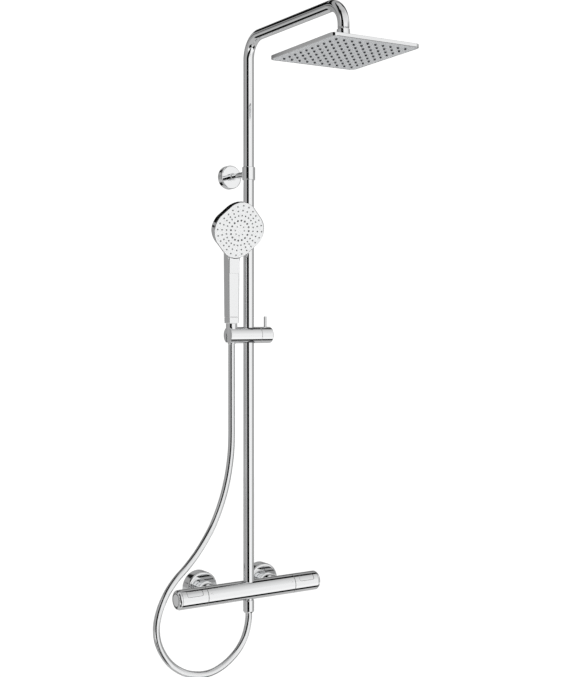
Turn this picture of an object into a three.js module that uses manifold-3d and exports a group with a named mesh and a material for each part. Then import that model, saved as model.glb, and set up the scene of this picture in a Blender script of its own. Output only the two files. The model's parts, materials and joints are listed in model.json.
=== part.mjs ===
// Rainfall shower column: an exposed thermostatic bar valve on two wall unions, a riser with an
// overhead arm and a square rain head, a wall bracket, and a handset in a slider on the riser.
// Millimetres. X runs along the valve bar, Y into the wall, Z up. The origin is on the finished
// wall face, midway between the two water inlets.
import * as THREE from 'three';
import { mergeVertices } from 'three/addons/utils/BufferGeometryUtils.js';
import Module from 'manifold-3d';

const wasm = await Module();
wasm.setup();

// ---------------------------------------------------------------- driving dimensions
const GAP = 0.3; // running and assembly gap between neighbouring pieces
const AXIS_Y = -86; // bar, riser, handset and hose all lie in this plane
const INLET_X = 75; // half of the standard 150 mm inlet spacing

const BAR_R = 20;
const BODY_HALF = 105; // body half length, to the handle joint lines
const BAR_HALF = 170;
const CHAMBER_R = 16;
const CHAMBER_END = 60; // the cartridge chambers stop here, either side of centre

const RISER_R = 11;
const RISER_BORE = 9.8;
const BRACKET_Z = 866;
const ARM_Z = 1147;
const ARM_REACH = 338; // riser axis to rain head axis
const ARM_BEND = 44;

const BALL_Z = 1082;
const BALL_R = 9.5;
const BALL_NECK_R = 4.8;
const STUD_BORE = 3.5;
const NUT_BORE = 10.9; // inside of the swivel nut, round the head's neck
const NECK_TOP = -11.2; // top of the rain head's neck, from the ball's centre
const HEAD_SIDE = 200;
const HEAD_FACE_Z = 1050;
const HEAD_DEPTH = 6.5;
const NOZZLE_ROWS = 10;
const NOZZLE_PITCH = 17.6;
const HEAD_LEAN = [-1.7, -1.55, 2.1]; // degrees about X, Y, Z: how the head hangs on its ball

const SLIDER_Z = 530;
const SLIDER_R = 17;
const SLIDER_LEFT = -50.4;
const KNOB_JOINT = 23.7;
const KNOB_END = 52;
const LEVER_X = 40.4;
const LEVER_TOP = 568.7;

const HANDSET_X = -41;
const HANDSET_TILT = 17.6; // degrees that the spray face looks down
const FACE_Y = -119.2;
const FACE_Z = 743.5;
const FACE_SIDE = 106;
const FACE_CORNER = 40;
const HANDLE_WIDTH = 27;
const HANDLE_DEPTH = 23;
const HANDLE_CORNER = 3;
const COLLAR_Z = 567;
const HANDLE_END_Z = 554.6;

const BUTTON_ANGLE = 50; // degrees that the handle buttons sit forward of the bar's top
const ROUND = 24; // facets on the large turned pieces
const SMALL = 12; // facets on the small ones

const FINISH = {
  chrome: { color: 0xdde1e4, roughness: 0.06, metalness: 1 },
  brass: { color: 0xb99a57, roughness: 0.35, metalness: 1 },
  steel: { color: 0xa9adb0, roughness: 0.3, metalness: 1 },
  satin: { color: 0xb9bcbe, roughness: 0.35, metalness: 0.9 },
  pale: { color: 0xeef0f0, roughness: 0.3, metalness: 0 },
  plastic: { color: 0x3c3f42, roughness: 0.5, metalness: 0 },
  silicone: { color: 0x8d9194, roughness: 0.6, metalness: 0 },
  rubber: { color: 0x1c1c1d, roughness: 0.8, metalness: 0 },
  hose: { color: 0xc7cacc, roughness: 0.2, metalness: 0.8 },
};

const column = new THREE.Group();
column.name = 'rainfall_shower_column';

// ---------------------------------------------------------------- helpers
const radians = THREE.MathUtils.degToRad;

function add(name, geometry, finish, parent = column) {
  const mesh = new THREE.Mesh(geometry, new THREE.MeshStandardMaterial(FINISH[finish]));
  mesh.name = name;
  parent.add(mesh);
  return mesh;
}

// A turned piece. The outline is a list of [radius, distance along the axis] corners. It starts
// and ends on the axis, or it is closed as a ring.
function turned(outline, axis, facets = ROUND) {
  const points = outline.map(([radius, along]) => new THREE.Vector2(radius, along));
  if (THREE.ShapeUtils.area(points) < 0) points.reverse();
  if (points[0].x > 0) points.push(points[0].clone());
  const geometry = new THREE.LatheGeometry(points, facets);
  if (axis === 'x') geometry.rotateZ(-Math.PI / 2);
  if (axis === 'z') geometry.rotateX(Math.PI / 2);
  return geometry;
}

function rod(radius, from, to, axis, facets = SMALL) {
  return turned([[0, from], [radius, from], [radius, to], [0, to]], axis, facets);
}

function ring(outer, inner, from, to, axis, facets = ROUND) {
  return turned([[inner, from], [outer, from], [outer, to], [inner, to]], axis, facets);
}

function box(width, depth, height, x, y, z) {
  return new THREE.BoxGeometry(width, depth, height).translate(x, y, z);
}

function roundedRect(width, height, radius) {
  const shape = new THREE.Shape();
  const w = width / 2 - radius;
  const h = height / 2 - radius;
  shape.absarc(w, h, radius, 0, Math.PI / 2);
  shape.absarc(-w, h, radius, Math.PI / 2, Math.PI);
  shape.absarc(-w, -h, radius, Math.PI, 1.5 * Math.PI);
  shape.absarc(w, -h, radius, 1.5 * Math.PI, 2 * Math.PI);
  shape.closePath();
  return shape;
}

// A shape carried up Z through sections of { at, scale, shift }, where shift moves it along Y.
function loft(shape, sections, curveSegments = 2) {
  const last = sections.length - 1;
  const options = { depth: 1, steps: last, bevelEnabled: false, curveSegments };
  const geometry = new THREE.ExtrudeGeometry(shape, options);
  const position = geometry.getAttribute('position');
  for (let i = 0; i < position.count; i += 1) {
    const { at, scale = 1, shift = 0 } = sections[Math.round(position.getZ(i) * last)];
    position.setXYZ(i, position.getX(i) * scale, position.getY(i) * scale + shift, at);
  }
  return geometry;
}

function plate(shape, from, to, curveSegments = 2) {
  return loft(shape, [{ at: from }, { at: to }], curveSegments);
}

// A centre line sampled at its own stations, so straight runs stay long and bends stay fine.
class StationCurve extends THREE.Curve {
  constructor(stations) {
    super();
    this.stations = stations;
  }

  getPoint(t, target = new THREE.Vector3()) {
    const place = t * (this.stations.length - 1);
    const index = Math.min(Math.floor(place), this.stations.length - 2);
    return target.lerpVectors(this.stations[index], this.stations[index + 1], place - index);
  }

  getUtoTmapping(u) {
    return u;
  }
}

function pipe(curve, steps, outer, inner, facets) {
  const section = new THREE.Shape().absarc(0, 0, outer, 0, 2 * Math.PI);
  if (inner > 0) section.holes.push(new THREE.Path().absarc(0, 0, inner, 0, 2 * Math.PI, true));
  const options = { steps, extrudePath: curve, curveSegments: facets / 2 };
  return new THREE.ExtrudeGeometry(section, options);
}

// A small compression spring, wound up Z from the origin.
function spring(radius, wire, height, turns) {
  const stations = [];
  const steps = turns * 7;
  for (let i = 0; i <= steps; i += 1) {
    const angle = (i / 7) * 2 * Math.PI;
    const rise = wire + (i / steps) * (height - 2 * wire);
    stations.push(new THREE.Vector3(radius * Math.cos(angle), radius * Math.sin(angle), rise));
  }
  return pipe(new StationCurve(stations), steps, wire, 0, 6);
}

function toSolid(geometry) {
  const plain = geometry.clone();
  plain.deleteAttribute('normal');
  plain.deleteAttribute('uv');
  const merged = mergeVertices(plain, 1e-4);
  const triangles = [];
  const index = merged.index.array;
  for (let i = 0; i < index.length; i += 3) {
    const [a, b, c] = [index[i], index[i + 1], index[i + 2]];
    if (a !== b && b !== c && c !== a) triangles.push(a, b, c);
  }
  const vertProperties = new Float32Array(merged.getAttribute('position').array);
  const triVerts = new Uint32Array(triangles);
  return new wasm.Manifold(new wasm.Mesh({ numProp: 3, vertProperties, triVerts }));
}

function toGeometry(solid) {
  const { vertProperties, triVerts } = solid.getMesh();
  const geometry = new THREE.BufferGeometry();
  geometry.setAttribute('position', new THREE.BufferAttribute(vertProperties, 3));
  geometry.setIndex(new THREE.BufferAttribute(triVerts, 1));
  geometry.computeVertexNormals();
  return geometry;
}

// Joins the solids in `material` and takes the ones in `space` away from them.
function carve(material, space = []) {
  let solid = toSolid(material[0]);
  for (const piece of material.slice(1)) solid = solid.add(toSolid(piece));
  for (const piece of space) solid = solid.subtract(toSolid(piece));
  return toGeometry(solid);
}

// ---------------------------------------------------------------- wall unions and rosettes
const SPIGOT_END = -50;
const NUT_R = 18;
const ROSETTE_R = 35;
const ROSETTE_DEPTH = 25;
const ROSETTE_BORE = 10.9;
const UNION_R = 10.5;
const UNION_BORE = 7.5;
const BOSS_R = 13; // the threaded bosses behind the valve body

function wallUnion(side, x) {
  const flange = SPIGOT_END + 2.6;
  const place = (name, geometry, finish) => add(`${side}_${name}`, geometry, finish).position.setX(x);
  place('union', turned([
    [UNION_BORE, flange], [BOSS_R - 0.2, flange], [BOSS_R - 0.2, flange + 4],
    [UNION_R, flange + 4], [UNION_R, 0], [UNION_BORE, 0],
  ], 'y', 16), 'brass');
  place('filter_washer', ring(12.6, 9, SPIGOT_END + GAP, flange - GAP, 'y', 16), 'rubber');
  place('union_nut', turned([
    [BOSS_R + 0.4, -60], [NUT_R - 1.5, -60], [NUT_R, -58.5], [NUT_R, -40.5], [NUT_R - 1.5, -39],
    [ROSETTE_BORE, -39], [ROSETTE_BORE, flange + 4.4], [BOSS_R + 0.4, flange + 4.4],
  ], 'y'), 'chrome');
  place('check_valve', turned([
    [3, -63.5], [8.6, -63.5], [8.6, SPIGOT_END - 1], [6, SPIGOT_END - 1], [6, -54], [3, -57],
  ], 'y', SMALL), 'plastic');
  place('rosette', turned([
    [ROSETTE_BORE, -ROSETTE_DEPTH], [ROSETTE_R - 4, -ROSETTE_DEPTH], [ROSETTE_R - 1, 1.2 - ROSETTE_DEPTH],
    [ROSETTE_R, 4 - ROSETTE_DEPTH], [ROSETTE_R, 0], [ROSETTE_R - 2, 0],
    [ROSETTE_R - 2, 4.5 - ROSETTE_DEPTH], [ROSETTE_R - 4.5, 2 - ROSETTE_DEPTH],
    [ROSETTE_BORE, 2 - ROSETTE_DEPTH],
  ], 'y', 28), 'chrome');
}

// ---------------------------------------------------------------- valve body and cartridges
const SOCKET_FLOOR = 6;
const O_RING_Z = 10.5;
const GROOVE_R = RISER_R + 2.2;
const WATERWAY_R = 5;
const INLET_BORE = 9;

function valveBody() {
  const back = (radius, from, to) => rod(radius, from, to, 'y', 16);
  const drilling = (from, to, axis) => rod(WATERWAY_R, from, to, axis, SMALL);
  const material = [
    turned([
      [0, -BODY_HALF + GAP], [BAR_R - 0.4, -BODY_HALF + GAP], [BAR_R, -BODY_HALF + 0.7],
      [BAR_R, BODY_HALF - 0.7], [BAR_R - 0.4, BODY_HALF - GAP], [0, BODY_HALF - GAP],
    ], 'x', 24),
    rod(9, -33, -15, 'z', 16),
  ];
  const space = [
    rod(CHAMBER_R, -BODY_HALF - 1, -CHAMBER_END, 'x', 16),
    rod(CHAMBER_R, CHAMBER_END, BODY_HALF + 1, 'x', 16),
    drilling(-CHAMBER_END - 1, CHAMBER_END + 1, 'x'),
    rod(RISER_R + 0.35, SOCKET_FLOOR, BAR_R + 1, 'z', 16),
    ring(GROOVE_R, RISER_R - 1, O_RING_Z - 1.5, O_RING_Z + 1.5, 'z', 16),
    drilling(-34, SOCKET_FLOOR + 1, 'z'),
  ];
  for (const x of [-INLET_X, INLET_X]) {
    material.push(back(BOSS_R, 12, SPIGOT_END - AXIS_Y).translate(x, 0, 0));
    space.push(back(INLET_BORE, 10, SPIGOT_END - AXIS_Y + 1).translate(x, 0, 0));
  }
  add('valve_body', carve(material, space), 'chrome').position.setY(AXIS_Y);
}

function riserSeal() {
  const seal = ring(GROOVE_R - 0.2, RISER_R + 0.25, O_RING_Z - 1.2, O_RING_Z + 1.2, 'z', 16);
  add('riser_o_ring', seal, 'rubber').position.setY(AXIS_Y);
}

// The cartridge housing sits in the chamber and its spindle turns with the handle.
function cartridge(name, spindleName, sign) {
  const along = (distance) => sign * distance;
  const housing = turned([
    [5, along(CHAMBER_END + GAP)], [10, along(CHAMBER_END + GAP)], [10, along(86)],
    [CHAMBER_R - 0.4, along(88)], [CHAMBER_R - 0.4, along(103)], [9, along(103)],
    [9, along(107)], [5, along(107)],
  ], 'x', 16);
  add(name, housing, 'brass').position.setY(AXIS_Y);
  add(spindleName, rod(SPINDLE_R, along(64), along(146), 'x', 12), 'steel').position.setY(AXIS_Y);
}

// ---------------------------------------------------------------- handles on the bar's ends
const BUTTON_CENTRE = 134.5;
const BUTTON_LENGTH = 35;
const BUTTON_WIDTH = 13.6;
const SLEEVE_BORE = 17.4;
const SLEEVE_END = 163;
const SHOULDER = 6.5; // rounding of the bar's ends
const SPINDLE_R = 4.7;

// Turns a piece built pointing up Z so that it points the way the handle buttons face.
function towardsButton(geometry) {
  return geometry.rotateX(radians(BUTTON_ANGLE));
}

function handle(names, sign) {
  const along = (distance) => sign * distance;
  const sleeve = turned([
    [SLEEVE_BORE, along(BODY_HALF + GAP)], [BAR_R - 0.4, along(BODY_HALF + GAP)],
    [BAR_R, along(BODY_HALF + 0.7)], [BAR_R, along(SLEEVE_END)], [SLEEVE_BORE, along(SLEEVE_END)],
  ], 'x', 24);
  const window = plate(roundedRect(BUTTON_LENGTH + 0.8, BUTTON_WIDTH + 0.8, 3), 12, 24, 1);
  const inBar = (name, geometry, finish) => add(name, geometry, finish).position.setY(AXIS_Y);
  inBar(names.sleeve, carve([sleeve], [towardsButton(window).translate(along(BUTTON_CENTRE), 0, 0)]),
    'chrome');
  const shoulder = [80, 60, 40, 20, 0].map((degrees) => [
    BAR_R - SHOULDER * (1 - Math.sin(radians(degrees))),
    along(BAR_HALF - SHOULDER * (1 - Math.cos(radians(degrees)))),
  ]);
  inBar(names.cap, turned([
    [0, along(153)], [15, along(153)], [15, along(SLEEVE_END + GAP)],
    [BAR_R, along(SLEEVE_END + GAP)], ...shoulder, [0, along(BAR_HALF)],
  ], 'x', 24), 'chrome');
  inBar(names.insert, turned([
    [SPINDLE_R + 0.4, along(108)], [SLEEVE_BORE - 0.4, along(108)],
    [SLEEVE_BORE - 0.4, along(113)], [11.4, along(113)], [11.4, along(152.6)],
    [SPINDLE_R + 0.4, along(152.6)],
  ], 'x', 16), 'plastic');
  handleButton(names, along(BUTTON_CENTRE));
}

function handleButton(names, x) {
  const pad = plate(roundedRect(BUTTON_LENGTH, BUTTON_WIDTH, 2.6), 15.5, 24, 1);
  const stem = rod(3, 13.9, 16, 'z', 12);
  const outside = ring(30, BAR_R, -30, 30, 'x', 24);
  const crown = carve([pad, stem], [outside]);
  const button = add(names.button, towardsButton(crown), 'chrome');
  button.position.set(x, AXIS_Y, 0);
  const coil = spring(4.2, 0.4, 3.3, 3).translate(0, 0, 11.8);
  add(names.spring, towardsButton(coil), 'steel').position.set(x, AXIS_Y, 0);
}

// ---------------------------------------------------------------- riser and overhead arm
function quarterBend(centre, start, radius, steps) {
  const points = [];
  for (let i = 0; i <= steps; i += 1) {
    const angle = start - (i / steps) * (Math.PI / 2);
    points.push(new THREE.Vector3(
      0, centre.y - radius * Math.cos(angle), centre.z + radius * Math.sin(angle)));
  }
  return points;
}

function armLine(endZ) {
  const topZ = ARM_Z - ARM_BEND;
  const rear = new THREE.Vector3(0, AXIS_Y - ARM_BEND, topZ);
  const front = new THREE.Vector3(0, AXIS_Y - ARM_REACH + ARM_BEND, topZ);
  return new StationCurve([
    new THREE.Vector3(0, AXIS_Y, BRACKET_Z + GAP / 2),
    ...quarterBend(rear, Math.PI, ARM_BEND, 5),
    ...quarterBend(front, Math.PI / 2, ARM_BEND, 5),
    new THREE.Vector3(0, AXIS_Y - ARM_REACH, endZ),
  ]);
}

const ARM_END_Z = BALL_Z + 15.6;
const ARM_PLUG = 20; // the stud fills the straight end of the arm, up to this far above the ball

function riser() {
  const bottom = SOCKET_FLOOR + GAP;
  const top = BRACKET_Z - GAP / 2;
  add('lower_riser_tube', ring(RISER_R, RISER_BORE, bottom, top, 'z', 16), 'chrome')
    .position.setY(AXIS_Y);
  const arm = armLine(ARM_END_Z);
  add('shower_arm', pipe(arm, arm.stations.length - 1, RISER_R, RISER_BORE, 16), 'chrome');
  const joiner = ring(RISER_BORE - 0.4, RISER_BORE - 2.4, -30, 30, 'z', SMALL);
  add('riser_joiner', joiner, 'brass').position.set(0, AXIS_Y, BRACKET_Z);
}

// ---------------------------------------------------------------- wall bracket
const BRACKET_COLLAR_R = 13.6;
const BRACKET_COLLAR_HALF = 13.4;
const BRACKET_ROD_R = 6.1;
const BRACKET_ROSETTE_R = 25;
const BRACKET_ROSETTE_DEPTH = 15;

function bracket() {
  const place = (name, geometry, finish) => {
    const mesh = add(name, geometry, finish);
    mesh.position.setZ(BRACKET_Z);
    return mesh;
  };
  const collar = turned([
    [RISER_R + GAP, -BRACKET_COLLAR_HALF], [RISER_R + 1, -BRACKET_COLLAR_HALF],
    [BRACKET_COLLAR_R, -11], [BRACKET_COLLAR_R, 11],
    [RISER_R + 1, BRACKET_COLLAR_HALF], [RISER_R + GAP, BRACKET_COLLAR_HALF],
  ], 'z', 16);
  const socket = rod(BRACKET_ROD_R + GAP, 8, 16, 'y', SMALL);
  place('bracket_collar', carve([collar], [socket]), 'chrome').position.setY(AXIS_Y);
  const front = -BRACKET_ROSETTE_DEPTH;
  const rodEnd = AXIS_Y + RISER_R + 0.7;
  place('bracket_rod', turned([
    [0, rodEnd], [BRACKET_ROD_R, rodEnd], [BRACKET_ROD_R, front - 8.5], [8, front - 7.5],
    [8, front - GAP], [5.8, front - GAP], [5.8, -4.6], [0, -4.6],
  ], 'y', 16), 'chrome');
  place('bracket_rosette', turned([
    [6.1, front], [BRACKET_ROSETTE_R - 3, front], [BRACKET_ROSETTE_R, front + 3],
    [BRACKET_ROSETTE_R, 0], [BRACKET_ROSETTE_R - 1.8, 0], [BRACKET_ROSETTE_R - 1.8, front + 3.6],
    [BRACKET_ROSETTE_R - 3.6, front + 1.8], [6.1, front + 1.8],
  ], 'y'), 'chrome');
  wallPlate(place, front);
}

function wallPlate(place, front) {
  const hubEnd = front + 2.2;
  const disc = turned([
    [0, 0], [21, 0], [21, -3], [10, -3], [10, hubEnd], [0, hubEnd],
  ], 'y', 16);
  const holes = [-15.5, 15.5].map((z) => rod(2.5, -4, 1, 'y', 12).translate(0, 0, z));
  const bore = rod(6.1, -4.2, hubEnd - 1, 'y', SMALL);
  const grub = rod(1.9, -11, -5, 'z', 8).translate(0, -8.5, 0);
  place('bracket_wall_plate', carve([disc], [bore, grub, ...holes]), 'steel');
  place('bracket_grub_screw', rod(1.6, -10.4, -6.3, 'z', 8).translate(0, -8.5, 0), 'steel');
  for (const [name, z] of [['bracket_screw_lower', -15.5], ['bracket_screw_upper', 15.5]]) {
    const screw = turned([
      [0, 0], [2.1, 0], [2.1, -3.3], [4.2, -3.3], [4.2, -5], [2.5, -6], [0, -6],
    ], 'y', 12);
    place(name, screw.translate(0, 0, z), 'steel');
  }
}

// ---------------------------------------------------------------- ball joint and rain head
const ballJoint = new THREE.Group();
ballJoint.position.set(0, AXIS_Y - ARM_REACH, BALL_Z);
column.add(ballJoint);
const hanging = new THREE.Group();
hanging.rotation.set(...HEAD_LEAN.map(radians), 'ZYX');
ballJoint.add(hanging);

function ballStud() {
  const outline = [[STUD_BORE, -8.8]];
  for (let degrees = -60; degrees <= 50; degrees += 22) {
    const angle = radians(degrees);
    outline.push([BALL_R * Math.cos(angle), BALL_R * Math.sin(angle)]);
  }
  const shoulder = ARM_END_Z - BALL_Z + GAP;
  const plugR = RISER_BORE - 0.5;
  outline.push([BALL_NECK_R, 8], [BALL_NECK_R, shoulder], [plugR, shoulder]);
  outline.push([plugR, ARM_PLUG], [STUD_BORE, ARM_PLUG]);
  return turned(outline, 'z', 16);
}

function swivel() {
  add('arm_ball_stud', ballStud(), 'brass', ballJoint);
  add('ball_seat_ring', turned([
    [6.6, -9.2], [9.3, -9.2], [9.9, -5], [8.7, -5],
  ], 'z', 16), 'plastic', hanging);
  add('swivel_nut', turned([
    [NUT_BORE, -22], [11.3, -22], [12.3, -21], [12.3, 11.6], [NUT_BORE, 13.4], [9, 13.4],
    [8.1, 6.4], [NUT_BORE, 6.4],
  ], 'z'), 'chrome', hanging);
}

// One square post at each nozzle of the rain head's grid.
function nozzlePosts(side, from, to) {
  const posts = [];
  const first = (-(NOZZLE_ROWS - 1) * NOZZLE_PITCH) / 2;
  for (let row = 0; row < NOZZLE_ROWS; row += 1) {
    for (let place = 0; place < NOZZLE_ROWS; place += 1) {
      const x = first + place * NOZZLE_PITCH;
      const y = first + row * NOZZLE_PITCH;
      posts.push(box(side, side, to - from, x, y, (from + to) / 2));
    }
  }
  return posts;
}

function rainHead() {
  const face = HEAD_FACE_Z - BALL_Z;
  const top = face + HEAD_DEPTH;
  const shell = loft(roundedRect(HEAD_SIDE, HEAD_SIDE, 12), [
    { at: face, scale: 0.996 }, { at: face + 0.6 }, { at: top - 1 }, { at: top, scale: 0.988 },
  ], 3);
  const pocket = plate(roundedRect(HEAD_SIDE - 5, HEAD_SIDE - 5, 10), face - 1, top - 1.8);
  const neck = rod(NUT_BORE - 0.6, top - 1, NECK_TOP, 'z', 16);
  const neckBore = rod(8.4, top + 1, NECK_TOP + 1, 'z', 16);
  const inlet = rod(5, top - 3, top + 2, 'z', SMALL);
  add('head_shell', carve([shell, neck], [pocket, neckBore, inlet]), 'chrome', hanging);
  const sheet = plate(roundedRect(HEAD_SIDE - 6, HEAD_SIDE - 6, 9.5), face + GAP, face + 1.6);
  const holes = nozzlePosts(3.8, face - 1, face + 2);
  add('head_face_plate', carve([sheet], holes), 'satin', hanging);
  const mat = plate(roundedRect(HEAD_SIDE - 8, HEAD_SIDE - 8, 8), face + 1.9, face + 3.1);
  const tips = nozzlePosts(2.8, face - 0.9, face + 2.5);
  add('nozzle_mat', carve([mat, ...tips]), 'silicone', hanging);
}

// ---------------------------------------------------------------- slider on the riser
const BUSH_R = RISER_R + 1.6;
const SCREW_R = 4;
const SCREW_END = 36;
const NUT_TOP_R = 11.7;
const NUT_FOOT_R = 7.8;
const NUT_FOOT_Z = 512;
const NUT_SHOULDER_Z = 546;

function slider() {
  const place = (name, geometry, finish) => {
    add(name, geometry, finish).position.set(0, AXIS_Y, SLIDER_Z);
  };
  const barrel = turned([
    [0, SLIDER_LEFT], [SLIDER_R - 0.6, SLIDER_LEFT], [SLIDER_R, SLIDER_LEFT + 0.6],
    [SLIDER_R, KNOB_JOINT - 0.5], [SLIDER_R - 0.4, KNOB_JOINT], [0, KNOB_JOINT],
  ], 'x', 24);
  const slope = (NUT_TOP_R - NUT_FOOT_R) / (NUT_SHOULDER_Z - NUT_FOOT_Z);
  const seatR = (z) => NUT_FOOT_R + 0.4 + slope * (z - NUT_FOOT_Z);
  const seat = turned([
    [0, -20], [seatR(SLIDER_Z - 20), -20], [seatR(SLIDER_Z + 20), 20], [0, 20],
  ], 'z', 16).translate(HANDSET_X, 0, 0);
  const slot = box(14, 15.6, 40, HANDSET_X - 7, 0, 0);
  const riserHole = rod(BUSH_R + GAP, -20, 20, 'z', 16);
  const screwHole = rod(SCREW_R + 0.4, 8, 26, 'x', SMALL);
  place('slider_body', carve([barrel], [seat, slot, riserHole, screwHole]), 'chrome');
  place('slider_bush', ring(BUSH_R, RISER_R + 0.2, -15.5, 15.5, 'z', 16), 'plastic');
  place('brake_pad', rod(SCREW_R, BUSH_R + 0.4, BUSH_R + 2.4, 'x', 12), 'rubber');
  place('clamp_screw', rod(SCREW_R, BUSH_R + 2.7, SCREW_END, 'x', SMALL), 'steel');
  lockKnob(place);
}

function lockKnob(place) {
  const leverFoot = 12;
  const knob = turned([
    [0, KNOB_JOINT + GAP], [SLIDER_R - 0.4, KNOB_JOINT + GAP], [SLIDER_R, KNOB_JOINT + 0.8],
    [SLIDER_R, KNOB_END - 2.2], [SLIDER_R - 0.8, KNOB_END - 0.8], [SLIDER_R - 2.4, KNOB_END],
    [0, KNOB_END],
  ], 'x', 24);
  const screwHole = rod(SCREW_R + GAP, KNOB_JOINT - 1, SCREW_END + 1, 'x', SMALL);
  const leverHole = rod(3.3, leverFoot, 20, 'z', 12).translate(LEVER_X, 0, 0);
  place('lock_knob', carve([knob], [screwHole, leverHole]), 'chrome');
  const leverTop = LEVER_TOP - SLIDER_Z;
  const lever = turned([
    [0, leverFoot + GAP], [3, leverFoot + GAP], [3, leverTop - 0.6], [2.4, leverTop],
    [0, leverTop],
  ], 'z', SMALL).translate(LEVER_X, 0, 0);
  place('lock_lever', lever, 'chrome');
}

// ---------------------------------------------------------------- handset
const sprayHead = new THREE.Matrix4()
  .makeTranslation(0, FACE_Y - AXIS_Y, FACE_Z)
  .multiply(new THREE.Matrix4().makeRotationX(Math.PI / 2 + radians(HANDSET_TILT)));

// The spray head is built with its face on XY looking up Z, corner upwards, then set in place.
function onSprayHead(geometry) {
  return geometry.applyMatrix4(sprayHead);
}

function squircle(side, sections) {
  const shape = roundedRect(side, side, (FACE_CORNER * side) / FACE_SIDE);
  return loft(shape, sections, 3).rotateZ(Math.PI / 4);
}

// The spray head is deepest across its middle. It thins towards its top corner, and towards its
// foot, where it passes the riser and the wall bracket.
function thinned(geometry) {
  const position = geometry.getAttribute('position');
  for (let i = 0; i < position.count; i += 1) {
    const up = position.getY(i);
    const depth = Math.max(0.5, Math.min(1, 1 + (up + 5) / 60, 1 - (up - 45) / 60));
    if (position.getZ(i) < 0) position.setZ(i, position.getZ(i) * depth);
  }
  return geometry;
}

function handsetPiece(name, geometry, finish) {
  add(name, geometry, finish).position.set(HANDSET_X, AXIS_Y, 0);
}

const PANEL_FROM = 656.6;
const PANEL_TO = 686.5;
const PANEL_DEPTH = 2.2;
const TUBE_R = 5.2;

function handsetShell() {
  const dome = onSprayHead(thinned(squircle(FACE_SIDE, [
    { at: -19, scale: 0.02 }, { at: -18.6, scale: 0.45 }, { at: -17.6, scale: 0.75 },
    { at: -16, scale: 0.93 }, { at: -14 }, { at: 0 },
  ])));
  const grip = loft(roundedRect(HANDLE_WIDTH, HANDLE_DEPTH, HANDLE_CORNER), [
    { at: COLLAR_Z + GAP, scale: 0.92 }, { at: 640, scale: 0.965 }, { at: 700 },
    { at: 718, scale: 0.94, shift: -5 }, { at: 738, scale: 0.7, shift: -13 },
  ], 2);
  const chamber = onSprayHead(thinned(squircle(FACE_SIDE - 5, [
    { at: -16.2, scale: 0.02 }, { at: -16, scale: 0.45 }, { at: -15, scale: 0.74 },
    { at: -13.6, scale: 0.9 }, { at: -12 }, { at: 1 },
  ])));
  const bore = rod(TUBE_R + 0.4, COLLAR_Z - 2, 712, 'z', SMALL);
  const elbow = rod(4.6, 0, 28, 'z', 12).rotateX(radians(50)).translate(0, 0, 703);
  const recess = box(
    HANDLE_WIDTH - 2, 10, PANEL_TO - PANEL_FROM, 0, -HANDLE_DEPTH / 2 + 3.6 - 5,
    (PANEL_FROM + PANEL_TO) / 2);
  handsetPiece('handset_shell', carve([dome, grip], [chamber, bore, elbow, recess]), 'chrome');
}

function selectorButton() {
  const height = PANEL_TO - PANEL_FROM - 0.8;
  const pad = plate(roundedRect(HANDLE_WIDTH - 3, height, 2), 0, PANEL_DEPTH, 1);
  pad.rotateX(Math.PI / 2).translate(0, -HANDLE_DEPTH / 2 + 2.0, (PANEL_FROM + PANEL_TO) / 2);
  handsetPiece('selector_button', pad, 'pale');
}

function handsetInside() {
  const face = squircle(FACE_SIDE - 6, [{ at: -2 }, { at: 0.4 }]);
  handsetPiece('handset_face', onSprayHead(face), 'pale');
  const mat = squircle(FACE_SIDE - 9, [{ at: -3.5 }, { at: -2.4 }]);
  handsetPiece('handset_nozzle_mat', onSprayHead(mat), 'silicone');
  const disc = turned([
    [0, -6.6], [23, -6.6], [26, -5.4], [26, -4], [0, -4],
  ], 'z', 16);
  handsetPiece('spray_disc', onSprayHead(disc), 'plastic');
  handsetPiece('handset_water_tube', ring(TUBE_R, 3.8, COLLAR_Z + 2, 700, 'z', SMALL), 'plastic');
}

function handsetFoot() {
  const collar = loft(roundedRect(HANDLE_WIDTH, HANDLE_DEPTH, HANDLE_CORNER), [
    { at: HANDLE_END_Z, scale: 0.905 }, { at: COLLAR_Z, scale: 0.92 },
  ], 2);
  const nipple = rod(9, 546, HANDLE_END_Z + 1, 'z', 16);
  const bore = rod(4.6, 545, COLLAR_Z + 1, 'z', SMALL);
  handsetPiece('handset_end_collar', carve([collar, nipple], [bore]), 'chrome');
  handsetPiece('hose_cone_nut', turned([
    [4.6, NUT_FOOT_Z], [NUT_FOOT_R, NUT_FOOT_Z], [NUT_TOP_R, NUT_SHOULDER_Z],
    [NUT_TOP_R, HANDLE_END_Z - 0.9], [NUT_TOP_R - 0.5, HANDLE_END_Z - 0.4],
    [9.4, HANDLE_END_Z - 0.4], [9.4, 543], [4.6, 543],
  ], 'z', 16), 'chrome');
  handsetPiece('cone_washer', ring(9, 5, 543.4, 545.6, 'z', SMALL), 'rubber');
}

// ---------------------------------------------------------------- hose
const HOSE_R = 6.9;
const OUTLET_FOOT = -46.7;

// The hose drops straight from the cone nut, swings out past the bar's left end, and loops back
// up into the outlet nut under the middle of the bar.
const HOSE_ROUTE = [
  [-41, 511.5], [-41, 440], [-41, 377], [-41, 330], [-42, 296], [-46, 262], [-52, 231],
  [-61, 199], [-73, 168], [-87, 139], [-105, 111], [-126, 84], [-148, 61], [-168, 43],
  [-186, 22], [-200, -2], [-209, -26], [-213, -50], [-210, -76], [-199, -102], [-180, -127],
  [-152, -147], [-121, -157], [-93, -158], [-68, -151], [-45, -138], [-24, -119], [-10, -97],
  [-3, -76], [0, -58], [0, OUTLET_FOOT - GAP],
];

function hose() {
  const route = HOSE_ROUTE.map(([x, z]) => new THREE.Vector3(x, AXIS_Y, z));
  const line = new THREE.CatmullRomCurve3(route, false, 'centripetal');
  add('hose', pipe(line, 42, HOSE_R, 0, 10), 'hose');
}

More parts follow.
